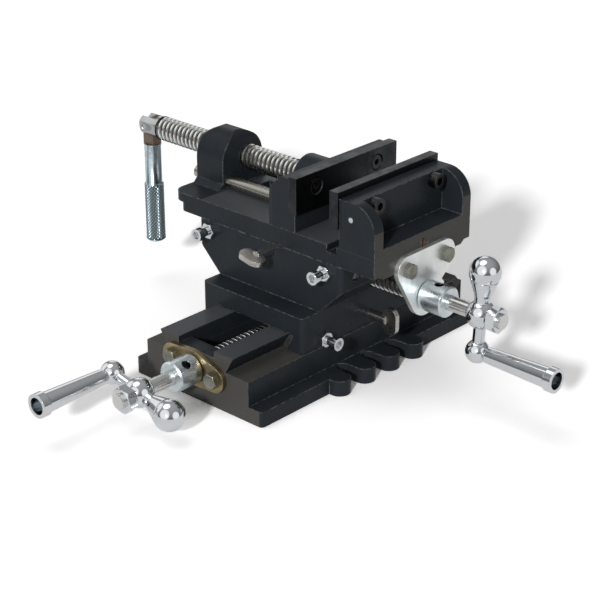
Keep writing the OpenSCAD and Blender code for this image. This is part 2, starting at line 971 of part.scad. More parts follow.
module vise_body()
    color([0.11, 0.12, 0.14])
        difference() {
            union() {
                slab();
                along_x(-table_reach, saddle_length)
                    tail_section();
                fixed_jaw();
                front_lug();
                boss();
            }
            // Chip groove at the foot of the fixed jaw
            translate([fixed_face - chip_groove, near_face - past, slideway - chip_groove_depth])
                cube([chip_groove_width, body_width + 2 * past, chip_groove_depth + past]);
            // Slot for the movable jaw's tongue
            translate([slot_back, saddle_shift - slot_width / 2, slab_bottom - past])
                cube([slot_front - slot_back, slot_width, slab_thick + 2 * past]);
            bar_x([boss_back - past, saddle_shift, screw_height], boss_length + 2 * past,
                  screw_d + 2 * thread_gap);
            bar_x([boss_back - past, saddle_shift + rod_shift, rod_height], boss_length + 2 * past,
                  rod_d + 2 * running_gap);
            at_upper_plate_bolts()
                translate([0, 0, -lug_thick - past])
                    cylinder(h = lug_thick + 2 * past, d = plate_bolt_d + tapped_slack);
            for (side = [-1, 1])
                bar_x([seat_x - past, saddle_shift + side * plate_screw_spread / 2, plate_screw_height],
                      jaw_wall + 2 * past, plate_bolt_d + bolt_slack);
            bar_x([body_front - front_screw_depth, saddle_shift, front_screw_height],
                  front_screw_depth + past, front_screw_d);
            bar_y([side_pin_x, near_face - past, side_pin_height], side_pin_length + past,
                  side_pin_d + 2 * running_gap);
        }

module fixed_jaw_plate()
    color([0.15, 0.16, 0.18])
        difference() {
            translate([fixed_face, saddle_shift - jaw_width / 2, jaw_top - plate_height])
                cube([plate_thick, jaw_width, plate_height]);
            for (side = [-1, 1])
                bar_x([seat_x - plate_screw_depth - slide_gap, saddle_shift + side * plate_screw_spread / 2,
                       plate_screw_height],
                      plate_screw_depth + slide_gap + past, plate_bolt_d + tapped_slack);
        }

// Socket head screws let into the fixed plate from behind the jaw
module fixed_jaw_screws() {
    head = 6;
    head_d = 10.5;
    socket_floor = 2.5;
    color([0.22, 0.22, 0.23])
        for (side = [-1, 1])
            translate([seat_x + jaw_wall, saddle_shift + side * plate_screw_spread / 2, plate_screw_height])
                rotate([0, 90, 0]) {
                    translate([0, 0, -jaw_wall - plate_screw_depth])
                        cylinder(h = jaw_wall + plate_screw_depth + past, d = plate_bolt_d);
                    difference() {
                        cylinder(h = head, d = head_d);
                        translate([0, 0, socket_floor])
                            cylinder(h = head, d = socket_across / cos(30), $fn = 6);
                    }
                }
}

module fixed_jaw_pin()
    color([0.9, 0.9, 0.88])
        bar_y([side_pin_x, near_face - collar_gap, side_pin_height], side_pin_length, side_pin_d);

module front_screw() {
    sunk = 0.3;
    slit = 1.4;
    slit_depth = 1.5;
    color([0.45, 0.34, 0.25])
        difference() {
            bar_x([body_front - front_screw_depth, saddle_shift, front_screw_height],
                  front_screw_depth - sunk, front_screw_d - tapped_slack);
            translate([body_front - sunk - slit_depth, saddle_shift - slit / 2,
                       front_screw_height - front_screw_d])
                cube([front_screw_depth, slit, 2 * front_screw_d]);
        }
}

// Upper feed

// The plate's outline about the shaft: two bolt ears above, one lobe round the shaft
module upper_plate_outline() {
    ear = plate_bolt_spread / 2;
    ear_r = 10;
    lobe_r = 14.5;
    strap([-ear, upper_ear_rise], ear_r, [ear, upper_ear_rise], ear_r);
    strap([0, 0], lobe_r, [ear, upper_ear_rise], ear_r);
    strap([0, 0], lobe_r, [-ear, upper_ear_rise], ear_r);
    polygon([[0, 0], [ear, upper_ear_rise], [-ear, upper_ear_rise]]);
}

module upper_bearing_plate()
    color([0.86, 0.86, 0.84])
        difference() {
            translate([0, saddle_shift, upper_lead_height])
                along_x(body_front, feed_plate)
                    upper_plate_outline();
            bar_x([body_front - past, saddle_shift, upper_lead_height], feed_plate + 2 * past,
                  journal_d + 2 * running_gap);
            at_upper_plate_bolts()
                translate([0, 0, -past])
                    cylinder(h = feed_plate + 2 * past, d = plate_bolt_d + bolt_slack);
        }

module upper_plate_bolts()
    color([0.8, 0.8, 0.78])
        at_upper_plate_bolts()
            translate([0, 0, feed_plate])
                hex_bolt(plate_bolt_d, plate_bolt_across, plate_bolt_head, feed_plate + lug_thick - past);

module upper_lead_screw()
    color([0.72, 0.72, 0.7]) {
        thread_start = body_front - collar_gap;
        thread_stop = upper_screw_short - table_reach;
        shaft_end = upper_hub_x + shaft_past_hub;
        bar_x([thread_stop, saddle_shift, upper_lead_height], thread_start - thread_stop, lead_screw_d);
        bar_x([thread_start - past, saddle_shift, upper_lead_height], shaft_end - thread_start + past,
              journal_d);
    }

module upper_feed_collar()
    color([0.8, 0.81, 0.82])
        translate([body_front + feed_plate + collar_gap, saddle_shift, upper_lead_height])
            difference() {
                feed_collar();
                translate([collar_hole_at, 0, 0])
                    rotate([collar_screw_turn, 0, 0])
                        cylinder(h = collar_d, d = collar_screw_d);
            }

// A square-headed set screw in the collar's second hole
module upper_collar_screw() {
    shank = 8;
    head = 5;
    head_across = 8;
    head_gap = 2;
    color([0.12, 0.12, 0.12])
        translate([body_front + feed_plate + collar_gap + collar_hole_at, saddle_shift, upper_lead_height])
            rotate([collar_screw_turn, 0, 0]) {
                translate([0, 0, journal_d / 2 + slide_gap])
                    cylinder(h = shank, d = collar_screw_d - tapped_slack);
                translate([-head_across / 2, -head_across / 2, collar_d / 2 + head_gap])
                    cube([head_across, head_across, head]);
            }
}

module upper_crank_arm()
    color([0.82, 0.83, 0.85])
        at_upper_crank()
            crank_arm();

module upper_crank_nut()
    color([0.78, 0.79, 0.8])
        at_upper_crank()
            crank_nut();

module upper_grip_pin()
    color([0.5, 0.5, 0.5])
        at_upper_crank()
            grip_pin();

module upper_grip()
    color([0.82, 0.83, 0.85])
        at_upper_crank()
            grip();

// Movable jaw

module jaw_profile() {
    seat_relief = 0.6;
    crown_drop = 2;
    crown_deep = 7.4;
    shoulder_drop = 11;
    shoulder_back = 4.5;
    slope_drop = 21.5;
    plate_seat = jaw_top - plate_height - seat_relief;
    crown = jaw_top - crown_drop;
    shoulder = jaw_top - shoulder_drop;
    slope_start = jaw_top - slope_drop;
    polygon([
        [jaw_back, slideway + slide_gap],
        [moving_face - jaw_overhang, slideway + slide_gap],
        [moving_face - jaw_overhang, plate_seat],
        [moving_seat, plate_seat],
        [moving_seat, crown],
        [moving_seat - crown_deep, crown],
        [jaw_back + shoulder_back, shoulder],
        [jaw_back, slope_start]
    ]);
}

// The jaw from above: the corners at the back are rounded off
module jaw_plan() {
    long = moving_face - jaw_back;
    corner = 7;
    translate([jaw_back + long, saddle_shift])
        rounded_rectangle(2 * long, body_width, corner);
}

module movable_jaw() {
    foot = slideway + slide_gap;
    boss_depth = 6;
    tongue_width = slot_width - 2 * slide_gap;
    screw_hole = 11;
    color([0.11, 0.12, 0.14])
        difference() {
            union() {
                intersection() {
                    along_y(near_face, body_width)
                        jaw_profile();
                    linear_extrude(jaw_top)
                        jaw_plan();
                }
                // Rounded boss round the tip of the vise screw
                bar_x([jaw_boss_back, saddle_shift, screw_height], moving_seat - jaw_boss_back - boss_depth,
                      2 * jaw_boss_r);
                translate([jaw_boss_back, saddle_shift - jaw_boss_r, foot])
                    cube([jaw_boss_reach + past, 2 * jaw_boss_r, screw_height - foot]);
                // Tongue through the slideway's slot
                translate([moving_seat - tongue_long, saddle_shift - tongue_width / 2,
                           slab_bottom - slide_gap])
                    cube([tongue_long, tongue_width, slab_thick + 2 * slide_gap + past]);
            }
            bar_x([jaw_boss_back - past, saddle_shift, screw_height], tip_length + past + collar_gap,
                  tip_d + 2 * running_gap);
            bar_x([jaw_boss_back - past, saddle_shift + rod_shift, rod_height],
                  jaw_boss_reach + rod_grip + past + collar_gap, rod_d + 2 * running_gap);
            // Hole for the pin that holds the screw's tip, open below
            at_retaining_pin()
                translate([0, 0, -past])
                    cylinder(h = retaining_pin_length + 2 * past, d = retaining_pin_d + 2 * running_gap);
            for (side = [-1, 1])
                bar_x([moving_seat - screw_hole, saddle_shift + side * plate_screw_spread / 2,
                       plate_screw_height],
                      screw_hole + past, plate_bolt_d + tapped_slack);
            at_keeper_screws()
                translate([0, 0, -past])
                    cylinder(h = keeper_screw_depth + 2 * past, d = keeper_screw_d + tapped_slack);
        }
}

module movable_jaw_plate() {
    sink = 3.4;
    sink_d = 12;
    color([0.15, 0.16, 0.18])
        difference() {
            translate([moving_seat, saddle_shift - jaw_width / 2, jaw_top - plate_height])
                cube([plate_thick, jaw_width, plate_height]);
            for (side = [-1, 1])
                translate([moving_face, saddle_shift + side * plate_screw_spread / 2, plate_screw_height])
                    rotate([0, -90, 0]) {
                        translate([0, 0, -past])
                            cylinder(h = plate_thick + 2 * past, d = plate_bolt_d + bolt_slack);
                        cylinder(h = sink, d1 = sink_d, d2 = plate_bolt_d);
                    }
        }
}

// Countersunk screws with a hexagon socket
module movable_jaw_screws() {
    sunk = 0.5;
    head = 2.6;
    head_d = 10;
    grip = 7;
    socket = 2.5;
    socket_d = 4.6;
    color([0.3, 0.3, 0.31])
        for (side = [-1, 1])
            translate([moving_face, saddle_shift + side * plate_screw_spread / 2, plate_screw_height])
                rotate([0, -90, 0])
                    difference() {
                        union() {
                            translate([0, 0, sunk])
                                cylinder(h = head, d1 = head_d, d2 = plate_bolt_d - bolt_slack);
                            translate([0, 0, sunk + head / 2])
                                cylinder(h = plate_thick + grip, d = plate_bolt_d);
                        }
                        cylinder(h = socket, d = socket_d, $fn = 6);
                    }
}

module guide_rod()
    color([0.72, 0.66, 0.5])
        bar_x([boss_back - rod_past_boss, saddle_shift + rod_shift, rod_height],
              jaw_back + rod_grip - boss_back + rod_past_boss, rod_d);

module at_keeper_screws()
    for (place = [keeper_screw_inset, tongue_long - keeper_screw_inset])
        translate([moving_seat - tongue_long + place, saddle_shift, slab_bottom - slide_gap])
            children();

// Place of the pin behind the neck of the screw's tip, drawn upward from the jaw's foot
retaining_pin_rise = 6.5;
retaining_pin_length = screw_height - slideway + retaining_pin_rise;
module at_retaining_pin()
    translate([jaw_boss_back + tip_neck_at, saddle_shift + (tip_neck_d + retaining_pin_d + bolt_slack) / 2,
               slideway + past])
        children();

module jaw_keeper() {
    overlap = 4;
    color([0.4, 0.4, 0.4])
        difference() {
            translate([moving_seat - tongue_long - overlap, saddle_shift - keeper_width / 2,
                       slab_bottom - slide_gap - keeper_thick])
                cube([tongue_long + 2 * overlap, keeper_width, keeper_thick]);
            at_keeper_screws()
                translate([0, 0, -keeper_thick - past])
                    cylinder(h = keeper_thick + 2 * past, d = keeper_screw_d + bolt_slack);
        }
}

module jaw_keeper_screws() {
    head = 3.5;
    head_d = 8.5;
    color([0.25, 0.25, 0.26])
        at_keeper_screws() {
            translate([0, 0, -keeper_thick - head])
                cylinder(h = head, d = head_d);
            translate([0, 0, -keeper_thick - past])
                cylinder(h = keeper_thick + past + keeper_screw_depth, d = keeper_screw_d);
        }
}

module screw_retaining_pin()
    color([0.6, 0.6, 0.6])
        at_retaining_pin()
            cylinder(h = retaining_pin_length, d = retaining_pin_d);

// Vise screw and handle

module vise_screw() {
    neck_length = retaining_pin_d + bolt_slack;
    color([0.75, 0.73, 0.68])
        difference() {
            union() {
                bar_x([thread_end, saddle_shift, screw_height], screw_length - collar_gap, screw_d);
                bar_x([jaw_boss_back - past, saddle_shift, screw_height], tip_length + past, tip_d);
                bar_x([head_end + head_chamfer, saddle_shift, screw_height],
                      head_length - head_chamfer + past, head_d);
                translate([head_end, saddle_shift, screw_height])
                    rotate([0, 90, 0])
                        cylinder(h = head_chamfer, d1 = head_d - 1.6 * head_chamfer, d2 = head_d);
            }
            // Neck in the tip for the retaining pin
            translate([jaw_boss_back + tip_neck_at - neck_length / 2, saddle_shift, screw_height])
                rotate([0, 90, 0])
                    difference() {
                        cylinder(h = neck_length, d = tip_d + past);
                        translate([0, 0, -past])
                            cylinder(h = neck_length + 2 * past, d = tip_neck_d);
                    }
            // Fork for the handle's tongue
            translate([head_end - past, saddle_shift - fork_slot / 2, screw_height - screw_d])
                cube([head_length - head_chamfer + past, fork_slot, 2 * screw_d]);
            bar_y([fork_x, saddle_shift - screw_d, screw_height], 2 * screw_d, handle_pin_d);
        }
}

module handle_pin() {
    sunk = 1.4;
    color([0.6, 0.6, 0.6])
        bar_y([fork_x, saddle_shift - screw_d / 2 + sunk, screw_height], screw_d - 2 * sunk, handle_pin_d);
}

// A flat tongue on a turned handle with a knurled end
module vise_handle() {
    tongue = fork_slot - 2 * slide_gap;
    knurl_end = sleeve_start + sleeve_length + knurl_length;
    color([0.78, 0.78, 0.76])
        translate([fork_x, saddle_shift, screw_height])
            difference() {
                union() {
                    bar_y([0, -tongue / 2, 0], tongue, tongue_wide);
                    translate([-tongue_wide / 2, -tongue / 2, -sleeve_start - past])
                        cube([tongue_wide, tongue, sleeve_start + past]);
                    translate([0, 0, -sleeve_start - sleeve_length])
                        cylinder(h = sleeve_length, d = sleeve_d);
                    translate([0, 0, -knurl_end]) {
                        cylinder(h = knurl_chamfer, d1 = knurl_d - 2 * knurl_chamfer, d2 = knurl_d);
                        translate([0, 0, knurl_chamfer])
                            cylinder(h = knurl_length - 2 * knurl_chamfer, d = knurl_d);
                        translate([0, 0, knurl_length - knurl_chamfer])
                            cylinder(h = knurl_chamfer, d1 = knurl_d, d2 = sleeve_d);
                    }
                }
                bar_y([0, -fork_slot, 0], 2 * fork_slot, handle_pin_d + 2 * running_gap);
            }
}

base_casting();
lower_bearing_plate();
lower_plate_bolts();
lower_lead_screw();
lower_feed_collar();
lower_crank_arm();
lower_crank_nut();
lower_grip_pin();
lower_grip();
saddle_casting();
lower_gib();
lower_gib_screws();
lower_gib_nuts();
lower_lock_screw();
lower_feed_nut();
upper_gib();
upper_gib_screws();
upper_gib_nuts();
upper_lock_screw();
upper_feed_nut();
vise_body();
fixed_jaw_plate();
fixed_jaw_screws();
fixed_jaw_pin();
front_screw();
upper_bearing_plate();
upper_plate_bolts();
upper_lead_screw();
upper_feed_collar();
upper_collar_screw();
upper_crank_arm();
upper_crank_nut();
upper_grip_pin();
upper_grip();
movable_jaw();
movable_jaw_plate();
movable_jaw_screws();
guide_rod();
jaw_keeper();
jaw_keeper_screws();
screw_retaining_pin();
vise_screw();
handle_pin();
vise_handle();
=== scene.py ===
import math

import bmesh
import bpy
from mathutils import Matrix, Vector


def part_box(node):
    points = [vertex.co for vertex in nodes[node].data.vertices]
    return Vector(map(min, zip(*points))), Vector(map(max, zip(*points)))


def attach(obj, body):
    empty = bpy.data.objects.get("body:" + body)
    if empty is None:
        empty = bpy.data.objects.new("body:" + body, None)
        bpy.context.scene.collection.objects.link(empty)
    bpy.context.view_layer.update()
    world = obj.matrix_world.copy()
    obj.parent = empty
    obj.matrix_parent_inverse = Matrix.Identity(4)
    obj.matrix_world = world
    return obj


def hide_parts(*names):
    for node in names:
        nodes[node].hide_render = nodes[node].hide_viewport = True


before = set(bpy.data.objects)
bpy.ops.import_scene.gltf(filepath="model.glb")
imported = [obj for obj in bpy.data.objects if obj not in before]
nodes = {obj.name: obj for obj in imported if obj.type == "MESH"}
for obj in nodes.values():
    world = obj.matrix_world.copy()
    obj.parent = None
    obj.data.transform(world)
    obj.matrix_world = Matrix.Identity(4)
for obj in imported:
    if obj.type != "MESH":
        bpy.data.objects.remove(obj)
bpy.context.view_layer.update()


# Base casting
# The foot of the vise is a grey iron sand casting under semi-gloss black paint.
# Its front end, shoulders and dovetail ways are milled after painting and show dark bare iron.
def feed(tree, node, sockets):
    """Joins a node's sockets to other nodes' outputs, or sets their values."""
    for name, value in sockets.items():
        if isinstance(value, bpy.types.NodeSocket):
            tree.links.new(value, node.inputs[name])
        else:
            node.inputs[name].default_value = value


def add(tree, kind, inputs=None, **settings):
    """A new node with its settings, each input given a value or joined to another node's output."""
    made = tree.nodes.new(kind)
    for name, value in settings.items():
        setattr(made, name, value)
    feed(tree, made, inputs or {})
    return made


def calculate(tree, operation, *values):
    """The output of a math node fed with the values."""
    return add(tree, "ShaderNodeMath", dict(enumerate(values)), operation=operation).outputs[0]


def remap(tree, value, low, high, new_low=0.0, new_high=1.0):
    """A value's range low to high laid on new_low to new_high, clamped."""
    limits = {"Value": value, "From Min": low, "From Max": high, "To Min": new_low, "To Max": new_high}
    return add(tree, "ShaderNodeMapRange", limits).outputs["Result"]


def on_vectors(tree, operation, *values):
    """The output of a vector math node: a number for a length or a dot product, else a vector."""
    made = add(tree, "ShaderNodeVectorMath", dict(enumerate(values)), operation=operation)
    return made.outputs["Value" if operation in ("LENGTH", "DOT_PRODUCT") else "Vector"]


def blend_values(tree, share, first, second):
    """The first number going over to the second by a share from 0 to 1."""
    return add(tree, "ShaderNodeMix", {0: share, 2: first, 3: second}).outputs[0]


def blend_colours(tree, share, first, second):
    """The first colour going over to the second by a share from 0 to 1."""
    first, second = (c if isinstance(c, bpy.types.NodeSocket) else (*c, 1) for c in (first, second))
    return add(tree, "ShaderNodeMix", {0: share, 6: first, 7: second}, data_type="RGBA").outputs[2]


def new_group(name, kind, inputs, outputs):
    """A node group of that kind with named sockets, and the sockets inside it."""
    group = bpy.data.node_groups.new(name, kind)
    for in_out, sockets in (("INPUT", inputs), ("OUTPUT", outputs)):
        for label, socket_type in sockets.items():
            group.interface.new_socket(label, in_out=in_out, socket_type=socket_type)
    return group, group.nodes.new("NodeGroupInput").outputs, group.nodes.new("NodeGroupOutput").inputs


def new_finish(name):
    """A material, its node tree and its Principled BSDF."""
    material = bpy.data.materials.new(name)
    material.use_nodes = True
    return material, material.node_tree, material.node_tree.nodes["Principled BSDF"]


def own_place(tree):
    """Where a point lies in the object's own coordinates."""
    return add(tree, "ShaderNodeTexCoord").outputs["Object"]


def noise(tree, scale, detail=3.0, roughness=0.55, vector=None):
    """Smooth noise over the object's own coordinates, or over another vector."""
    where = vector or own_place(tree)
    settings = {"Vector": where, "Scale": scale, "Detail": detail, "Roughness": roughness}
    return add(tree, "ShaderNodeTexNoise", settings).outputs["Fac"]


def placed(group_name, tree, values=None):
    """A node group put into a material with its own values."""
    return add(tree, "ShaderNodeGroup", values, node_tree=bpy.data.node_groups[group_name]).outputs


# Sand left its grain in the iron, and the paint lies over it in slow waves
group, _, given_out = new_group("sand_cast_skin", "ShaderNodeTree", {},
                                {"Height": "NodeSocketFloat", "Tone": "NodeSocketFloat"})
grain = remap(group, noise(group, scale=1100.0, detail=2.0), 0.35, 0.7)
waves = noise(group, scale=170.0, detail=2.0)
pits = remap(group, noise(group, scale=420.0, detail=1.0), 0.28, 0.36)
height = 0.0
for layer, share in ((grain, 0.35), (waves, 0.9), (pits, 0.4)):
    height = calculate(group, "MULTIPLY_ADD", layer, share, height)
group.links.new(height, given_out["Height"])
group.links.new(noise(group, scale=38.0, detail=5.0, roughness=0.65), given_out["Tone"])

# Corners lose paint and plating first and carry painted highlights: the mask is bright where the surface
# turns within the reach
group, given, given_out = new_group("edge_wear_and_highlight", "ShaderNodeTree",
                                    {"Reach": "NodeSocketFloat", "Breakup Scale": "NodeSocketFloat"},
                                    {"Edge": "NodeSocketFloat"})
rounded = add(group, "ShaderNodeBevel", {"Radius": given["Reach"]}, samples=4).outputs["Normal"]
straight = add(group, "ShaderNodeNewGeometry").outputs["True Normal"]
facing = on_vectors(group, "DOT_PRODUCT", rounded, straight)
turning = remap(group, facing, 0.995, 0.8)
patches = noise(group, scale=given["Breakup Scale"], detail=4.0, roughness=0.7)
broken = remap(group, patches, 0.42, 0.6)
group.links.new(calculate(group, "MULTIPLY", turning, broken), given_out["Edge"])

# A cutter leaves fine lines along one axis: Stretch lays the noise out along it
group, given, given_out = new_group("cutter_lines", "ShaderNodeTree", {"Stretch": "NodeSocketVector"},
                                    {"Lines": "NodeSocketFloat", "Tone": "NodeSocketFloat"})
laid = on_vectors(group, "MULTIPLY", own_place(group), given["Stretch"])
streaks = noise(group, scale=1.0, detail=4.0, roughness=0.7, vector=laid)
group.links.new(streaks, given_out["Lines"])
group.links.new(noise(group, scale=55.0), given_out["Tone"])
lines_along_x = (60.0, 1500.0, 1500.0)
lines_along_y = (1500.0, 60.0, 1500.0)
fully_bare = 1.0
half_bare = 0.5


def milled_faces(tree, planes):
    """A mask of milled faces: each an axis, a level on it, the lowest X covered and how bare it is."""
    tolerance = 0.00008
    split = add(tree, "ShaderNodeSeparateXYZ", {0: own_place(tree)}).outputs
    mask = 0.0
    for axis, level, from_x, bareness in planes:
        on_level = calculate(tree, "COMPARE", split[axis], level, tolerance)
        inside = calculate(tree, "GREATER_THAN", split["X"], from_x)
        cut = calculate(tree, "MULTIPLY", on_level, inside)
        mask = calculate(tree, "MAXIMUM", mask, calculate(tree, "MULTIPLY", cut, bareness))
    return mask


def relief(tree, height, strength, depth, rounded_by=None):
    """A normal that follows a height map of some depth, over corners that look rounded by a radius."""
    inputs = {"Height": height, "Strength": strength, "Distance": depth}
    if rounded_by:
        inputs["Normal"] = add(tree, "ShaderNodeBevel", {"Radius": rounded_by}, samples=6).outputs["Normal"]
    return add(tree, "ShaderNodeBump", inputs).outputs["Normal"]


def black_paint(name, milled=(), stretch=lines_along_x):
    """Semi-gloss black paint over cast iron, worn at the corners and painted lighter there as a highlight,
    with bare iron on milled faces.
    """
    material, tree, shader = new_finish(name)
    skin = placed("sand_cast_skin", tree)
    edge = placed("edge_wear_and_highlight", tree, {"Reach": 0.0009, "Breakup Scale": 260.0})["Edge"]
    lines = placed("cutter_lines", tree, {"Stretch": stretch})
    bare = milled_faces(tree, milled)
    paint = blend_colours(tree, skin["Tone"], (0.013, 0.0165, 0.0205), (0.027, 0.033, 0.039))
    # Corners are painted pale: worn paint, and a painted highlight along the edge.
    worn_and_highlit = blend_colours(tree, calculate(tree, "MULTIPLY", edge, 0.8), paint, (0.28, 0.29, 0.3))
    tanned = blend_colours(tree, lines["Lines"], (0.08, 0.074, 0.065), (0.155, 0.144, 0.128))
    fresh = blend_colours(tree, lines["Lines"], (0.05, 0.055, 0.06), (0.105, 0.113, 0.122))
    iron = blend_colours(tree, remap(tree, bare, half_bare, fully_bare), tanned, fresh)
    paint_dullness = remap(tree, skin["Tone"], 0.3, 0.7, 0.24, 0.4)
    cut_dullness = remap(tree, lines["Lines"], 0.3, 0.7, 0.34, 0.5)
    cut_height = calculate(tree, "MULTIPLY", lines["Lines"], 0.25)
    height = blend_values(tree, bare, skin["Height"], cut_height)
    feed(tree, shader, {
        "Base Color": blend_colours(tree, bare, worn_and_highlit, iron),
        "Metallic": calculate(tree, "MULTIPLY", bare, 0.25),
        "Roughness": blend_values(tree, bare, paint_dullness, cut_dullness),
        "Normal": relief(tree, height, strength=0.55, depth=0.00012, rounded_by=0.0012),
        "Specular IOR Level": 0.1,
    })
    return material


def dress(node, material):
    """Gives a CAD node its finish."""
    nodes[node].data.materials.clear()
    nodes[node].data.materials.append(material)


base_low, base_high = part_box("base_casting")
way_top = base_high.z
base_front = base_low.y
slide_gap = 0.0002
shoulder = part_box("saddle_casting")[0].z - slide_gap
everywhere = -1.0
base_paint = black_paint("base_paint", [("Z", way_top, everywhere, fully_bare),
                                        ("Z", shoulder, everywhere, half_bare),
                                        ("Y", base_front, everywhere, half_bare)], lines_along_y)
dress("base_casting", base_paint)


# Lead screws
# Both feeds run on a turned steel screw with a right-hand trapezoidal thread of 4 mm pitch.
# The thread runs up to a plain journal that carries the collar and the crank; its roots are oily and painted
# dark as shade.
touching = 1e-6


def slice_of(name, node, axis, start, stop, finish):
    """The stretch of a CAD node from start to stop along an axis, closed where it is cut."""
    on_cut = 1e-7
    work = bmesh.new()
    work.from_mesh(nodes[node].data)
    bmesh.ops.remove_doubles(work, verts=work.verts, dist=touching)
    normal = Vector([float(letter == axis) for letter in "XYZ"])
    for level, below, above in ((start, True, False), (stop, False, True)):
        everything = work.verts[:] + work.edges[:] + work.faces[:]
        bmesh.ops.bisect_plane(work, geom=everything, dist=on_cut, plane_co=normal * level, plane_no=normal,
                               clear_inner=below, clear_outer=above)
    bmesh.ops.holes_fill(work, edges=[e for e in work.edges if e.is_boundary], sides=0)
    bmesh.ops.recalc_face_normals(work, faces=work.faces)
    mesh = bpy.data.meshes.new(name)
    work.to_mesh(mesh)
    work.free()
    mesh.materials.append(finish)
    return mesh


def shaded(tree, geometry, finish):
    """Real geometry, smooth except at its corners, in one finish."""
    whole = add(tree, "GeometryNodeRealizeInstances", {"Geometry": geometry}).outputs[0]
    smooth = add(tree, "GeometryNodeSetShadeSmooth", {"Geometry": whole}).outputs[0]
    angle = add(tree, "GeometryNodeInputMeshEdgeAngle").outputs["Unsigned Angle"]
    sharp_angle = 0.5
    corner = calculate(tree, "GREATER_THAN", angle, sharp_angle)
    crisp = add(tree, "GeometryNodeSetShadeSmooth",
                {"Geometry": smooth, "Selection": corner, "Shade Smooth": False}, domain="EDGE").outputs[0]
    return add(tree, "GeometryNodeSetMaterial", {"Geometry": crisp, "Material": finish}).outputs[0]


def wound_skin(name, extra, shape):
    """A tree for a closed skin round the X axis: a grid whose first and last rows close on the axis.
    The shape gives the run along X and the depth below the crest, from the row's number and the share
    of a turn."""
    half_grid = 0.5
    just_inside = 0.49999
    sizes = {"Length": "NodeSocketFloat", "Around": "NodeSocketInt", "Rows": "NodeSocketInt",
             "Crest Radius": "NodeSocketFloat", "Depth": "NodeSocketFloat", "Origin": "NodeSocketVector",
             "Turn": "NodeSocketVector", "Finish": "NodeSocketMaterial", **extra}
    tree, given, given_out = new_group(name, "GeometryNodeTree", sizes, {"Geometry": "NodeSocketGeometry"})
    counts = {"Vertices X": calculate(tree, "ADD", given["Around"], 1.0), "Vertices Y": given["Rows"]}
    wrap = add(tree, "GeometryNodeMeshGrid", counts).outputs["Mesh"]
    at = add(tree, "ShaderNodeSeparateXYZ", {0: add(tree, "GeometryNodeInputPosition").outputs[0]}).outputs
    turn = calculate(tree, "ADD", at["X"], half_grid)
    last = calculate(tree, "SUBTRACT", given["Rows"], 1.0)
    share_of_rows = calculate(tree, "ADD", at["Y"], half_grid)
    number = calculate(tree, "ROUND", calculate(tree, "MULTIPLY", share_of_rows, last))
    inner = calculate(tree, "LESS_THAN", calculate(tree, "ABSOLUTE", at["Y"]), just_inside)
    run, depth = shape(tree, given, calculate(tree, "SUBTRACT", number, 1.0), turn)
    radius = calculate(tree, "MULTIPLY", inner, calculate(tree, "SUBTRACT", given["Crest Radius"], depth))
    angle = calculate(tree, "MULTIPLY", turn, 2 * math.pi)
    spot = add(tree, "ShaderNodeCombineXYZ", {
        "X": run,
        "Y": calculate(tree, "MULTIPLY", radius, calculate(tree, "COSINE", angle)),
        "Z": calculate(tree, "MULTIPLY", radius, calculate(tree, "SINE", angle)),
    }).outputs[0]
    wound = add(tree, "GeometryNodeSetPosition", {"Geometry": wrap, "Position": spot}).outputs[0]
    closed = add(tree, "GeometryNodeMergeByDistance", {"Geometry": wound, "Distance": touching}).outputs[0]
    put = add(tree, "GeometryNodeTransform", {"Geometry": closed, "Translation": given["Origin"],
                                              "Rotation": given["Turn"]}).outputs[0]
    tree.links.new(shaded(tree, put, given["Finish"]), given_out["Geometry"])
    return tree


def thread_shape(tree, given, number, turn):
    """Rows follow the helix. Crest, flank and root share the pitch, and the ridge fades at both ends."""
    quarter_row = 0.25
    crest_middle = 0.5
    crest_edge = 0.18
    root_edge = 0.28
    fade_share = 0.4
    step = calculate(tree, "DIVIDE", given["Pitch"], given["Rows per Pitch"])
    climb = calculate(tree, "MULTIPLY", calculate(tree, "SUBTRACT", turn, 1.0), given["Pitch"])
    free_run = calculate(tree, "ADD", calculate(tree, "MULTIPLY", number, step), climb)
    run = calculate(tree, "MINIMUM", calculate(tree, "MAXIMUM", free_run, 0.0), given["Length"])
    shifted = calculate(tree, "ADD", number, quarter_row)
    phase = calculate(tree, "FRACT", calculate(tree, "DIVIDE", shifted, given["Rows per Pitch"]))
    off_crest = calculate(tree, "ABSOLUTE", calculate(tree, "SUBTRACT", phase, crest_middle))
    ridge = remap(tree, off_crest, crest_edge, root_edge, 1.0, 0.0)
    fade = calculate(tree, "MULTIPLY", given["Pitch"], fade_share)
    to_end = calculate(tree, "MINIMUM", run, calculate(tree, "SUBTRACT", given["Length"], run))
    kept = calculate(tree, "MULTIPLY", ridge, remap(tree, to_end, 0.0, fade))
    return run, calculate(tree, "MULTIPLY", given["Depth"], calculate(tree, "SUBTRACT", 1.0, kept))


rolled_thread = wound_skin("rolled_thread", {"Pitch": "NodeSocketFloat", "Rows per Pitch": "NodeSocketInt"},
                           thread_shape)


def in_scene(name, data):
    """A new object of that data, put in the scene."""
    made = bpy.data.objects.new(name, data)
    bpy.context.scene.collection.objects.link(made)
    return made


def grown(name, tree, values, seed_mesh=None):
    """The plain mesh that a Geometry Nodes tree makes with these input values."""
    holder = in_scene(name, seed_mesh or bpy.data.meshes.new(name))
    modifier = holder.modifiers.new(name, "NODES")
    modifier.node_group = tree
    for item in tree.interface.items_tree:
        if item.in_out == "INPUT" and item.name in values:
            modifier[item.identifier] = values[item.name]
    evaluated = holder.evaluated_get(bpy.context.evaluated_depsgraph_get())
    mesh = bpy.data.meshes.new_from_object(evaluated)
    bpy.data.objects.remove(holder)
    mesh.name = name
    return mesh


# Rows beyond the steps of a run: the one at its end, and one to close each end on the axis
closing_rows = 3


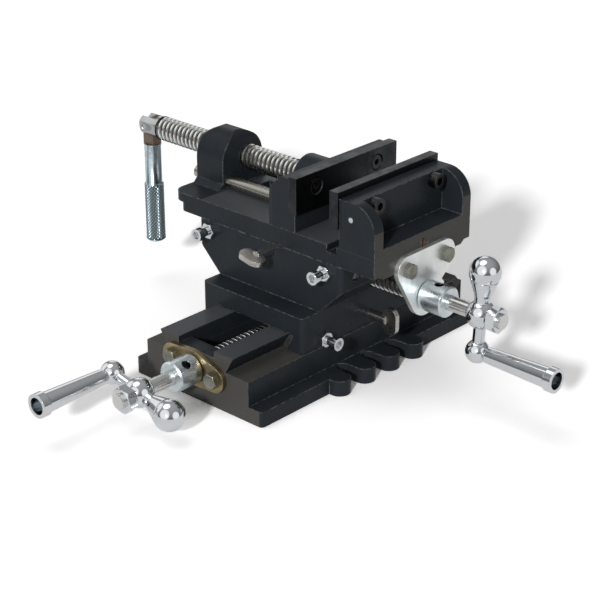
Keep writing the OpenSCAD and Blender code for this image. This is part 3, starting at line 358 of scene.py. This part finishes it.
def thread_between(name, start, length, turn, radius, depth, finish):
    """A thread of 4 mm pitch from a point on its axis."""
    pitch = 0.004
    rows_per_pitch = 20
    around = 48
    rows = math.ceil((length / pitch + 1) * rows_per_pitch) + closing_rows
    return grown(name, rolled_thread, {
        "Length": length, "Pitch": pitch, "Rows per Pitch": rows_per_pitch, "Rows": rows, "Around": around,
        "Crest Radius": radius, "Depth": depth, "Origin": start, "Turn": turn, "Finish": finish})


def seated(name, meshes, body, node):
    """One object of several meshes that stands in for a CAD node and moves with its body."""
    work = bmesh.new()
    finishes = []
    for mesh in meshes:
        before = len(work.faces)
        work.from_mesh(mesh)
        work.faces.ensure_lookup_table()
        for face in work.faces[before:]:
            face.material_index = len(finishes)
        finishes.append(next(m for m in mesh.materials if m))
    whole = bpy.data.meshes.new(name)
    work.to_mesh(whole)
    work.free()
    for finish in finishes:
        whole.materials.append(finish)
    made = in_scene(name, whole)
    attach(made, body)
    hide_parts(node)


def turned_steel(name, light, dark, dullness, rings, root=None):
    """Turned metal with fine rings. root is the directions across its axis, a point on the axis and the
    radii between which the roots are painted dark, as shade and oil, and made duller."""
    material, tree, shader = new_finish(name)
    lines = placed("cutter_lines", tree, {"Stretch": rings})
    tone = blend_colours(tree, lines["Tone"], dark, light)
    roughness = remap(tree, lines["Lines"], 0.3, 0.7, dullness * 0.8, dullness * 1.35)
    if root:
        # The roots are painted near black: painted shade in the hollows, and oil.
        root_shade_and_oil = (0.02, 0.018, 0.016)
        oil_dullness = 0.5
        across, centre, inner, outer = root
        moved = on_vectors(tree, "SUBTRACT", own_place(tree), centre)
        reach = on_vectors(tree, "LENGTH", on_vectors(tree, "MULTIPLY", moved, across))
        root_shade_and_oil_mask = remap(tree, reach, inner, outer, 1.0, 0.0)
        tone = blend_colours(tree, calculate(tree, "MULTIPLY", root_shade_and_oil_mask, 0.9), tone, root_shade_and_oil)
        roughness = blend_values(tree, root_shade_and_oil_mask, roughness, oil_dullness)
    feed(tree, shader, {
        "Base Color": tone,
        "Metallic": 1.0,
        "Roughness": roughness,
        "Normal": relief(tree, lines["Lines"], strength=0.12, depth=0.0001),
    })
    return material


lower_low, lower_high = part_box("lower_lead_screw")
upper_low, upper_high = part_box("upper_lead_screw")
lower_axis = (lower_low + lower_high) / 2
upper_axis = (upper_low + upper_high) / 2
lead_radius = lower_high.x - lower_axis.x
lead_depth = 0.0018
lead_root_shade = (0.0058, 0.0068)
across_x = (0, 1, 1)
across_y = (1, 0, 1)
rings_x = (1600.0, 30.0, 30.0)
rings_y = (30.0, 1600.0, 30.0)
bright_steel = {"light": (0.8, 0.8, 0.78), "dark": (0.64, 0.64, 0.62), "dullness": 0.2}
lower_journal_steel = turned_steel("lower_journal_steel", **bright_steel, rings=rings_y)
upper_journal_steel = turned_steel("upper_journal_steel", **bright_steel, rings=rings_x)
lower_steel = turned_steel("lower_lead_steel", **bright_steel, rings=rings_y,
                           root=(across_y, lower_axis, *lead_root_shade))
upper_steel = turned_steel("upper_lead_steel", **bright_steel, rings=rings_x,
                           root=(across_x, upper_axis, *lead_root_shade))
along_x = (0, 0, 0)
along_y = (0, 0, math.pi / 2)
far_below = -1.0
far_above = 1.0

lower_shoulder = -0.0964
lower_journal = slice_of("lower_journal", "lower_lead_screw", "Y", far_below, lower_shoulder,
                         lower_journal_steel)
lower_start = (lower_axis.x, lower_shoulder, lower_axis.z)
lower_thread = thread_between("lower_thread", lower_start, lower_high.y - lower_shoulder, along_y,
                              lead_radius, lead_depth, lower_steel)
seated("lower_threaded_screw", [lower_journal, lower_thread], "lower_crank", "lower_lead_screw")

upper_shoulder = 0.0919
upper_journal = slice_of("upper_journal", "upper_lead_screw", "X", upper_shoulder, far_above,
                         upper_journal_steel)
upper_start = (upper_low.x, upper_axis.y, upper_axis.z)
upper_thread = thread_between("upper_thread", upper_start, upper_shoulder - upper_low.x, along_x,
                              lead_radius, lead_depth, upper_steel)
seated("upper_threaded_screw", [upper_journal, upper_thread], "upper_crank", "upper_lead_screw")


# Bearing plates, collars and their bolts
# The plates are stamped from strip and plated: the lower one yellow passivated, the upper one satin zinc.
# The collars are turned, cross drilled and plated, and hex bolts with turned-off corners hold the plates.
def drilled_walls(tree, node, across, chamfer=0.0013):
    """A mask of the walls inside a turned piece, below its outer skin and off its end faces."""
    low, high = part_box(node)
    half = (high - low) / 2
    along = Vector([1 - a for a in across])
    moved = on_vectors(tree, "SUBTRACT", own_place(tree), (low + high) / 2)
    mask = 1.0
    for direction, limit in ((across, half.dot(across) / 2), (along, half.dot(along))):
        reach = on_vectors(tree, "LENGTH", on_vectors(tree, "MULTIPLY", moved, direction))
        mask = calculate(tree, "MULTIPLY", mask, calculate(tree, "LESS_THAN", reach, limit - chamfer))
    return mask


def plating(name, light, dark, dullness, stretch=(700.0, 700.0, 700.0), rubbed_and_highlit=(0.7, 0.71, 0.71),
            hole_in=None):
    """Plated or blackened metal: cloudy in tone and shine, rubbed at the corners and painted lighter there
    as a highlight, faint lines below it.
    hole_in is a drilled node and the directions across its axis: the walls of its hole are painted dark as
    shade."""
    material, tree, shader = new_finish(name)
    clouds = noise(tree, scale=95.0, detail=5.0, roughness=0.65)
    lines = placed("cutter_lines", tree, {"Stretch": stretch})
    edge = placed("edge_wear_and_highlight", tree, {"Reach": 0.0006, "Breakup Scale": 300.0})["Edge"]
    tone = blend_colours(tree, remap(tree, clouds, 0.32, 0.68), dark, light)
    if hole_in:
        # The walls of the drilled hole are painted near black as shade.
        hole_shade = (0.012, 0.012, 0.012)
        tone = blend_colours(tree, drilled_walls(tree, *hole_in), tone, hole_shade)
    feed(tree, shader, {
        # Corners take the rubbed colour: wear, and a painted highlight along the edge.
        "Base Color": blend_colours(tree, calculate(tree, "MULTIPLY", edge, 0.5), tone, rubbed_and_highlit),
        "Metallic": 1.0,
        "Roughness": remap(tree, clouds, 0.3, 0.7, dullness * 1.25, dullness * 0.8),
        "Normal": relief(tree, lines["Lines"], strength=0.16, depth=0.0001, rounded_by=0.0004),
    })
    return material


# A hexagon on every point of a seed mesh: its outer corners are turned off, and it has a bore or a shank
sizes = {"Places": "NodeSocketGeometry", "Across": "NodeSocketFloat", "Thick": "NodeSocketFloat",
         "Bore Radius": "NodeSocketFloat", "Shank Radius": "NodeSocketFloat",
         "Shank Length": "NodeSocketFloat", "Turn": "NodeSocketVector", "Finish": "NodeSocketMaterial"}
turned_hexagon, given, given_out = new_group("turned_hexagon", "GeometryNodeTree", sizes,
                                             {"Geometry": "NodeSocketGeometry"})


def lifted(tree, mesh, height):
    """A mesh moved up along Z."""
    spot = add(tree, "ShaderNodeCombineXYZ", {"Z": height}).outputs[0]
    return add(tree, "GeometryNodeTransform", {"Geometry": mesh, "Translation": spot}).outputs[0]


half_thick = calculate(turned_hexagon, "MULTIPLY", given["Thick"], 0.5)
corner_radius = calculate(turned_hexagon, "DIVIDE", given["Across"], 2 * math.cos(math.pi / 6))
prism = add(turned_hexagon, "GeometryNodeMeshCylinder", {"Vertices": 6, "Radius": corner_radius,
                                                         "Depth": given["Thick"]}).outputs["Mesh"]

# The cone that turns the corners off runs past both ends, counted in half thicknesses from the top
flat_top_share = 0.475
cone_slope = math.tan(math.radians(60))
cone_below = 3.0
cone_above = 0.5
cone_sides = 64
top_radius = calculate(turned_hexagon, "MULTIPLY", given["Across"], flat_top_share)
widening = calculate(turned_hexagon, "MULTIPLY", half_thick, cone_slope)
cone = add(turned_hexagon, "GeometryNodeMeshCone", {
    "Vertices": cone_sides,
    "Radius Top": calculate(turned_hexagon, "MULTIPLY_ADD", widening, -cone_above, top_radius),
    "Radius Bottom": calculate(turned_hexagon, "MULTIPLY_ADD", widening, cone_below, top_radius),
    "Depth": calculate(turned_hexagon, "MULTIPLY", half_thick, cone_below + cone_above)}).outputs["Mesh"]
cone_foot = calculate(turned_hexagon, "MULTIPLY", half_thick, 2.0 - cone_below)
body = add(turned_hexagon, "GeometryNodeMeshBoolean", operation="INTERSECT", solver="EXACT")
turned_hexagon.links.new(lifted(turned_hexagon, prism, half_thick), body.inputs["Mesh 2"])
turned_hexagon.links.new(lifted(turned_hexagon, cone, cone_foot), body.inputs["Mesh 2"])
well_through = 4.0
bore_sides = 48
shank_sides = 32
drill = add(turned_hexagon, "GeometryNodeMeshCylinder", {
    "Vertices": bore_sides, "Radius": given["Bore Radius"],
    "Depth": calculate(turned_hexagon, "MULTIPLY", given["Thick"], well_through)}).outputs["Mesh"]
bored = add(turned_hexagon, "GeometryNodeMeshBoolean", {"Mesh 1": body.outputs["Mesh"]},
            operation="DIFFERENCE", solver="EXACT")
turned_hexagon.links.new(drill, bored.inputs["Mesh 2"])
shank = add(turned_hexagon, "GeometryNodeMeshCylinder", {
    "Vertices": shank_sides, "Radius": given["Shank Radius"],
    "Depth": given["Shank Length"]}).outputs["Mesh"]
sunk_by = calculate(turned_hexagon, "MULTIPLY", given["Shank Length"], -0.5)
bolt = add(turned_hexagon, "GeometryNodeJoinGeometry")
turned_hexagon.links.new(body.outputs["Mesh"], bolt.inputs[0])
turned_hexagon.links.new(lifted(turned_hexagon, shank, sunk_by), bolt.inputs[0])
has_bore = calculate(turned_hexagon, "GREATER_THAN", given["Bore Radius"], 0.0)
fastener = add(turned_hexagon, "GeometryNodeSwitch", {"Switch": has_bore, "False": bolt.outputs[0],
                                                      "True": bored.outputs["Mesh"]}).outputs[0]
facing = add(turned_hexagon, "FunctionNodeEulerToRotation", {0: given["Turn"]}).outputs[0]
placed_fasteners = add(turned_hexagon, "GeometryNodeInstanceOnPoints", {
    "Points": given["Places"], "Instance": fastener, "Rotation": facing}).outputs[0]
turned_hexagon.links.new(shaded(turned_hexagon, placed_fasteners, given["Finish"]), given_out["Geometry"])


def solid_boxes(node):
    """The lowest and highest corner of each separate solid in a CAD node."""
    work = bmesh.new()
    work.from_mesh(nodes[node].data)
    bmesh.ops.remove_doubles(work, verts=work.verts, dist=touching)
    left = set(work.verts)
    boxes = []
    while left:
        reached = [left.pop()]
        for vertex in reached:
            beside = {edge.other_vert(vertex) for edge in vertex.link_edges} & left
            left -= beside
            reached.extend(beside)
        places = [v.co for v in reached]
        boxes.append([Vector([pick(p[i] for p in places) for i in range(3)]) for pick in (min, max)])
    work.free()
    return boxes


def turned(*steps):
    """The Euler angles of turns made one inside the other, each an angle in degrees and an axis."""
    whole = Matrix()
    for degrees, axis in steps:
        whole = whole @ Matrix.Rotation(math.radians(degrees), 4, axis)
    return whole.to_euler()


def hexagons(name, node, body, steps, across, thick, bore, finish):
    """Hexagon bolts or nuts in the place of a CAD node's solids; steps turn +Z to the way they face."""
    shank_radius = 0.003
    turn = turned(*steps)
    outward = Vector([round(c) for c in turn.to_matrix() @ Vector((0, 0, 1))])
    along = [abs(c) for c in outward]
    places = []
    for low, high in solid_boxes(node):
        middle = (low + high) / 2
        half = (high - low) / 2
        reach = sum(a * h for a, h in zip(along, half))
        places.append(middle + outward * (reach - thick))
        shank_length = 2 * reach - thick
    seeds = bpy.data.meshes.new(name + "_places")
    seeds.from_pydata(places, [], [])
    mesh = grown(name, turned_hexagon, {
        "Across": across, "Thick": thick, "Bore Radius": bore, "Shank Radius": shank_radius,
        "Shank Length": shank_length, "Turn": turn, "Finish": finish}, seeds)
    seated(name, [mesh], body, node)


gold_plating = plating("yellow_zinc", (0.44, 0.36, 0.21), (0.2, 0.155, 0.085), dullness=0.32)
satin_plating = plating("satin_zinc", (0.95, 0.975, 0.96), (0.86, 0.885, 0.87), dullness=0.42)
clear_zinc = {"light": (0.76, 0.82, 0.85), "dark": (0.6, 0.67, 0.71), "dullness": 0.27}
clear_plating = plating("clear_zinc", **clear_zinc)
bolt_plating = plating("aged_zinc", (0.34, 0.34, 0.3), (0.18, 0.18, 0.15), dullness=0.26)
dress("lower_bearing_plate", gold_plating)
dress("upper_bearing_plate", satin_plating)
for node, across in (("lower_feed_collar", across_y), ("upper_feed_collar", across_x)):
    dress(node, plating(node + "_zinc", **clear_zinc, hole_in=(node, across)))
bolt_across = 0.01
bolt_head = 0.004
solid = 0.0
lower_plate_tilt = -7.5
hexagons("lower_hex_bolts", "lower_plate_bolts", "base", [(90, "X"), (lower_plate_tilt, "Z")],
         bolt_across, bolt_head, solid, bolt_plating)
hexagons("upper_hex_bolts", "upper_plate_bolts", "vise", [(90, "Y")],
         bolt_across, bolt_head, solid, bolt_plating)


# Ball cranks
# Each crank is one bar turned to a large ball, a hub and a small ball, polished and chromed.
# A hex nut holds the hub on the journal, and a tapered hollow grip spins on a pin in the small ball.
def chrome(name):
    """Polished chrome with faint smears that dull it here and there."""
    material, tree, shader = new_finish(name)
    smears = noise(tree, scale=70.0, detail=4.0, roughness=0.6)
    tone = blend_colours(tree, smears, (0.66, 0.69, 0.72), (0.8, 0.82, 0.84))
    feed(tree, shader, {
        "Base Color": tone,
        "Metallic": 1.0,
        "Roughness": remap(tree, smears, 0.35, 0.7, 0.05, 0.14),
        "Normal": relief(tree, smears, strength=0.03, depth=0.0002, rounded_by=0.0004),
    })
    return material


crank_chrome = chrome("crank_chrome")
for side in ("lower", "upper"):
    for piece in ("crank_arm", "grip"):
        dress(f"{side}_{piece}", crank_chrome)
    dress(f"{side}_grip_pin", clear_plating)
nut_across = 0.016
nut_thick = 0.0065
nut_bore = 0.00505
lower_crank_angle = -102.5
upper_crank_angle = -5.0
hexagons("lower_hub_nut", "lower_crank_nut", "lower_crank",
         [(-90, "Z"), (lower_crank_angle, "X"), (90, "Y")], nut_across, nut_thick, nut_bore, crank_chrome)
hexagons("upper_hub_nut", "upper_crank_nut", "upper_crank",
         [(upper_crank_angle, "X"), (90, "Y")], nut_across, nut_thick, nut_bore, crank_chrome)


# Saddle
# A cross-shaped casting rides on the base ways and carries the second pair of ways on top.
# It has gib strips on one side of each slide, bronze feed nuts, and chromed screws and nuts to set the gibs.
dress("saddle_casting", black_paint("saddle_paint"))
gib_steel = turned_steel("gib_steel", (0.5, 0.5, 0.48), (0.3, 0.3, 0.29), dullness=0.35, rings=rings_y)
nut_bronze = turned_steel("nut_bronze", (0.62, 0.47, 0.24), (0.45, 0.33, 0.15), dullness=0.3,
                          rings=rings_x)
gib_nut_thick = 0.005
gib_nut_bore = 0.0031
for side, steps in (("lower", [(90, "Y")]), ("upper", [(90, "X")])):
    dress(f"{side}_gib", gib_steel)
    dress(f"{side}_feed_nut", nut_bronze)
    dress(f"{side}_gib_screws", crank_chrome)
    hexagons(f"{side}_lock_nuts", f"{side}_gib_nuts", "saddle", steps, bolt_across, gib_nut_thick,
             gib_nut_bore, crank_chrome)


# Lock screws
# A thumb screw with a flattened oval head clamps each slide through its gib.
# They are bare forged steel gone brown, rubbed bright at the rims, where the brightness is also a painted
# highlight.
brown_steel = plating("brown_steel", (0.66, 0.64, 0.61), (0.42, 0.4, 0.37), dullness=0.28,
                      rubbed_and_highlit=(0.9, 0.9, 0.88))
for node in ("lower_lock_screw", "upper_lock_screw"):
    dress(node, brown_steel)


# Vise body
# The upper casting holds the slideway, the boss that is tapped for the vise screw and the fixed jaw.
# The slideway and the front face are milled through the paint.
slideway = 0.1042
body_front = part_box("vise_body")[1].x
slideway_start = -0.063
body_paint = black_paint("body_paint", [("Z", slideway, slideway_start, fully_bare),
                                        ("X", body_front, everywhere, half_bare)])
dress("vise_body", body_paint)
dress("fixed_jaw_pin", clear_plating)
rust = plating("rusty_screw", (0.22, 0.17, 0.13), (0.08, 0.052, 0.04), dullness=0.55,
               rubbed_and_highlit=(0.35, 0.32, 0.28))
dress("front_screw", rust)
black_oxide = plating("black_oxide", (0.06, 0.06, 0.06), (0.025, 0.025, 0.026), dullness=0.36,
                      rubbed_and_highlit=(0.25, 0.25, 0.25))
dress("upper_collar_screw", black_oxide)


# Movable jaw
# A second painted casting slides on the body, pushed and pulled by the vise screw.
# A steel guide rod fixed in it and a keeper screwed on below the slideway keep it straight.
dress("movable_jaw", black_paint("jaw_paint"))
rod_steel = turned_steel("rod_steel", (0.5, 0.49, 0.44), (0.4, 0.38, 0.33), dullness=0.22, rings=rings_x)
dress("guide_rod", rod_steel)
dress("jaw_keeper", gib_steel)
dress("screw_retaining_pin", gib_steel)
dress("jaw_keeper_screws", black_oxide)


# Jaw plates
# Two plates of hardened and blackened steel, ground on the faces, grip the work.
# Each is held to its jaw by two socket head screws let in flush.
plate_steel = plating("plate_steel", (0.05, 0.054, 0.06), (0.022, 0.025, 0.028), dullness=0.36,
                      stretch=(900.0, 40.0, 900.0), rubbed_and_highlit=(0.22, 0.225, 0.23))
for node in ("fixed_jaw_plate", "movable_jaw_plate"):
    dress(node, plate_steel)
for node in ("fixed_jaw_screws", "movable_jaw_screws"):
    dress(node, black_oxide)


# Vise screw
# A bright steel screw with a coarse thread runs in the tapped boss and drives the jaw.
# Its turned tip is held in the jaw by a cross pin, and its head is forked for the handle.

# The handle's pin crosses the screw's axis in the middle of the fork
pin_low, pin_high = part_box("handle_pin")
fork_middle = (pin_low + pin_high) / 2
screw_radius = fork_middle.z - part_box("vise_screw")[0].z
screw_depth = 0.0022
# The screw's thread roots are painted dark: painted shade and oil.
screw_root_shade = (0.0068, 0.008)
screw_steel = turned_steel("vise_screw_steel", (0.95, 0.95, 0.93), (0.82, 0.82, 0.79), dullness=0.2,
                           rings=rings_x, root=(across_x, fork_middle, *screw_root_shade))
head_steel = turned_steel("screw_head_steel", (0.62, 0.64, 0.65), (0.36, 0.37, 0.38), dullness=0.22,
                          rings=rings_x)
screw_start = -0.151
screw_stop = -0.0095
screw_head = slice_of("screw_head", "vise_screw", "X", far_below, screw_start, head_steel)
screw_tip = slice_of("screw_tip", "vise_screw", "X", screw_stop, far_above, upper_journal_steel)
thread_start = (screw_start, fork_middle.y, fork_middle.z)
screw_thread = thread_between("screw_thread", thread_start, screw_stop - screw_start, along_x,
                              screw_radius, screw_depth, screw_steel)
seated("vise_threaded_screw", [screw_head, screw_tip, screw_thread], "clamping_screw", "vise_screw")
dress("handle_pin", head_steel)


# Handle
# A turned and plated bar folds on a pin in the screw's fork. Its flat tongue is painted dark brown: forge
# colour, and painted shade where it sits in the fork.
# The lower half is knurled with two crossed sets of grooves for grip.
rows_per_point = 4


def knurl_shape(tree, given, number, turn):
    """Diamond points between two sets of grooves that climb opposite ways."""
    end_margin = 1e-5
    # Keeps the phase above zero and a hair off whole numbers
    above_zero = 100.001
    free_run = calculate(tree, "MULTIPLY", number, given["Row Step"])
    run = calculate(tree, "MINIMUM", free_run, given["Length"])
    along = calculate(tree, "DIVIDE", number, rows_per_point)
    across = calculate(tree, "DIVIDE", calculate(tree, "MULTIPLY", turn, given["Around"]), rows_per_point)
    points = []
    for operation in ("ADD", "SUBTRACT"):
        climb = calculate(tree, operation, across, along)
        phase = calculate(tree, "FRACT", calculate(tree, "ADD", climb, above_zero))
        doubled = calculate(tree, "MULTIPLY", phase, 2.0)
        swing = calculate(tree, "ABSOLUTE", calculate(tree, "SUBTRACT", doubled, 1.0))
        points.append(calculate(tree, "SUBTRACT", 1.0, swing))
    point = calculate(tree, "MINIMUM", *points)
    to_end = calculate(tree, "MINIMUM", run, calculate(tree, "SUBTRACT", given["Length"], run))
    kept = calculate(tree, "MULTIPLY", point, calculate(tree, "GREATER_THAN", to_end, end_margin))
    return run, calculate(tree, "MULTIPLY", given["Depth"], calculate(tree, "SUBTRACT", 1.0, kept))


crossed_knurl = wound_skin("crossed_knurl", {"Row Step": "NodeSocketFloat"}, knurl_shape)
handle_low, handle_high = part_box("vise_handle")
tongue_foot = 0.1077
sleeve_bottom = 0.0778
knurl_chamfer = 0.0015
knurl_bottom = handle_low.z + knurl_chamfer
knurl_top = sleeve_bottom - knurl_chamfer
knurl_radius = handle_high.x - fork_middle.x
knurl_depth = 0.0007
points_round = 18
around = rows_per_point * points_round
row_step = 2 * math.pi * knurl_radius / around
# The knurl's grooves are painted dark as shade, and made duller, so that the points show.
knurl_groove_shade = (0.0067, 0.007)
across_z = (1, 1, 0)
rings_z = (30.0, 30.0, 1600.0)
handle_plating = plating("handle_zinc", (0.44, 0.54, 0.59), (0.34, 0.43, 0.48), dullness=0.2)
knurl_steel = turned_steel("knurl_steel", (0.42, 0.52, 0.57), (0.34, 0.43, 0.47), dullness=0.3,
                           rings=rings_z, root=(across_z, fork_middle, *knurl_groove_shade))
# The tongue is painted dark brown: forge colour, and painted shade inside the fork.
tongue_steel = turned_steel("tongue_steel", (0.3, 0.24, 0.19), (0.14, 0.1, 0.08), dullness=0.45,
                            rings=rings_z)
tongue = slice_of("handle_tongue", "vise_handle", "Z", tongue_foot, far_above, tongue_steel)
sleeve = slice_of("handle_sleeve", "vise_handle", "Z", knurl_top, tongue_foot, handle_plating)
tip = slice_of("handle_tip", "vise_handle", "Z", far_below, knurl_bottom, handle_plating)
knurl = grown("handle_knurl", crossed_knurl, {
    "Length": knurl_top - knurl_bottom, "Row Step": row_step, "Around": around,
    "Rows": math.ceil((knurl_top - knurl_bottom) / row_step) + closing_rows,
    "Crest Radius": knurl_radius, "Depth": knurl_depth,
    "Origin": (fork_middle.x, fork_middle.y, knurl_bottom), "Turn": (0, -math.pi / 2, 0),
    "Finish": knurl_steel})
seated("knurled_handle", [tongue, sleeve, tip, knurl], "folding_handle", "vise_handle")


# Floor, light and camera
# The vise stands on white paper, with a soft shadow thrown far back by a low lamp in front.
# A broad lamp above and a pale dome fill the shade, and polished metal mirrors four soft boxes.
floor_half = 3.0
sheet = bpy.data.meshes.new("floor")
corners = [(x * floor_half, y * floor_half, 0) for x, y in ((-1, -1), (1, -1), (1, 1), (-1, 1))]
sheet.from_pydata(corners, [], [(0, 1, 2, 3)])
floor = in_scene("floor", sheet)
paper = bpy.data.materials.new("white_paper")
paper.use_nodes = True
tree = paper.node_tree
tree.nodes.clear()
seen = add(tree, "ShaderNodeLightPath").outputs
paper_in_light = (0.8, 0.79, 0.79)
paper_in_picture = (1.5, 1.485, 1.485)
glow_in_picture = 0.05
glow_in_metal = 0.18
tone = blend_colours(tree, seen["Is Camera Ray"], paper_in_light, paper_in_picture)
matte = add(tree, "ShaderNodeBsdfDiffuse", {"Color": tone}).outputs[0]
brighter = blend_values(tree, seen["Is Glossy Ray"], glow_in_picture, glow_in_metal)
glow = add(tree, "ShaderNodeEmission", {"Strength": brighter}).outputs[0]
both = add(tree, "ShaderNodeAddShader", {0: matte, 1: glow}).outputs[0]
add(tree, "ShaderNodeOutputMaterial", {"Surface": both})
sheet.materials.append(paper)

world = bpy.data.worlds.new("studio")
bpy.context.scene.world = world
world.use_nodes = True
tree = world.node_tree
tree.nodes.clear()
seen = add(tree, "ShaderNodeLightPath").outputs
outward = add(tree, "ShaderNodeTexCoord").outputs["Generated"]
height = add(tree, "ShaderNodeSeparateXYZ", {0: outward}).outputs["Z"]
horizon = 0.0
near_top = 0.9
dome = remap(tree, height, horizon, near_top, 0.08, 0.26)
soft_boxes = remap(tree, height, horizon, near_top, 0.12, 0.4)

# Each soft box: the way to it, and the cosines of the angles off it where it starts and where it is full
front_box = ((0.1, -0.86, 0.5), 0.78, 0.86)
right_box = ((0.95, 0.1, 0.3), 0.88, 0.93)
left_box = ((-0.89, -0.2, 0.4), 0.86, 0.92)
back_box = ((-0.65, 0.65, 0.4), 0.95, 0.98)
for aim, from_edge, to_full in (front_box, right_box, left_box, back_box):
    facing = on_vectors(tree, "DOT_PRODUCT", outward, aim)
    soft_boxes = calculate(tree, "MAXIMUM", soft_boxes, remap(tree, facing, from_edge, to_full))
mirrored = calculate(tree, "MULTIPLY", soft_boxes, seen["Is Glossy Ray"])
strength = calculate(tree, "MAXIMUM", calculate(tree, "MAXIMUM", dome, mirrored), seen["Is Camera Ray"])
sky = add(tree, "ShaderNodeBackground", {"Color": (1, 1, 1, 1), "Strength": strength}).outputs[0]
add(tree, "ShaderNodeOutputWorld", {"Surface": sky})


def distant_lamp(name, direction, strength, spread):
    """A lamp so far away that it lights the whole floor evenly, seen under a spread in degrees."""
    lamp = bpy.data.lights.new(name, "SUN")
    lamp.energy = strength
    lamp.angle = math.radians(spread)
    in_scene(name, lamp).rotation_euler = Vector(direction).to_track_quat("Z", "Y").to_euler()


distant_lamp("key", (0.383, -0.825, 0.416), strength=2.2, spread=5)
distant_lamp("top", (-0.25, -0.1, 1.0), strength=0.55, spread=40)

camera_data = bpy.data.cameras.new("camera")
camera_data.lens = 102.78
camera_data.sensor_width = 36.0
camera = in_scene("camera", camera_data)
target = Vector((-0.001649, 0.0, 0.028172))
azimuth = math.radians(42.658)
elevation = math.radians(25.071)
distance = 1.217819
back = Vector((math.sin(azimuth) * math.cos(elevation), -math.cos(azimuth) * math.cos(elevation),
               math.sin(elevation)))
camera.location = target + back * distance
camera.rotation_euler = (-back).to_track_quat("-Z", "Y").to_euler()
bpy.context.scene.camera = camera
bpy.context.scene.view_settings.view_transform = "Standard"
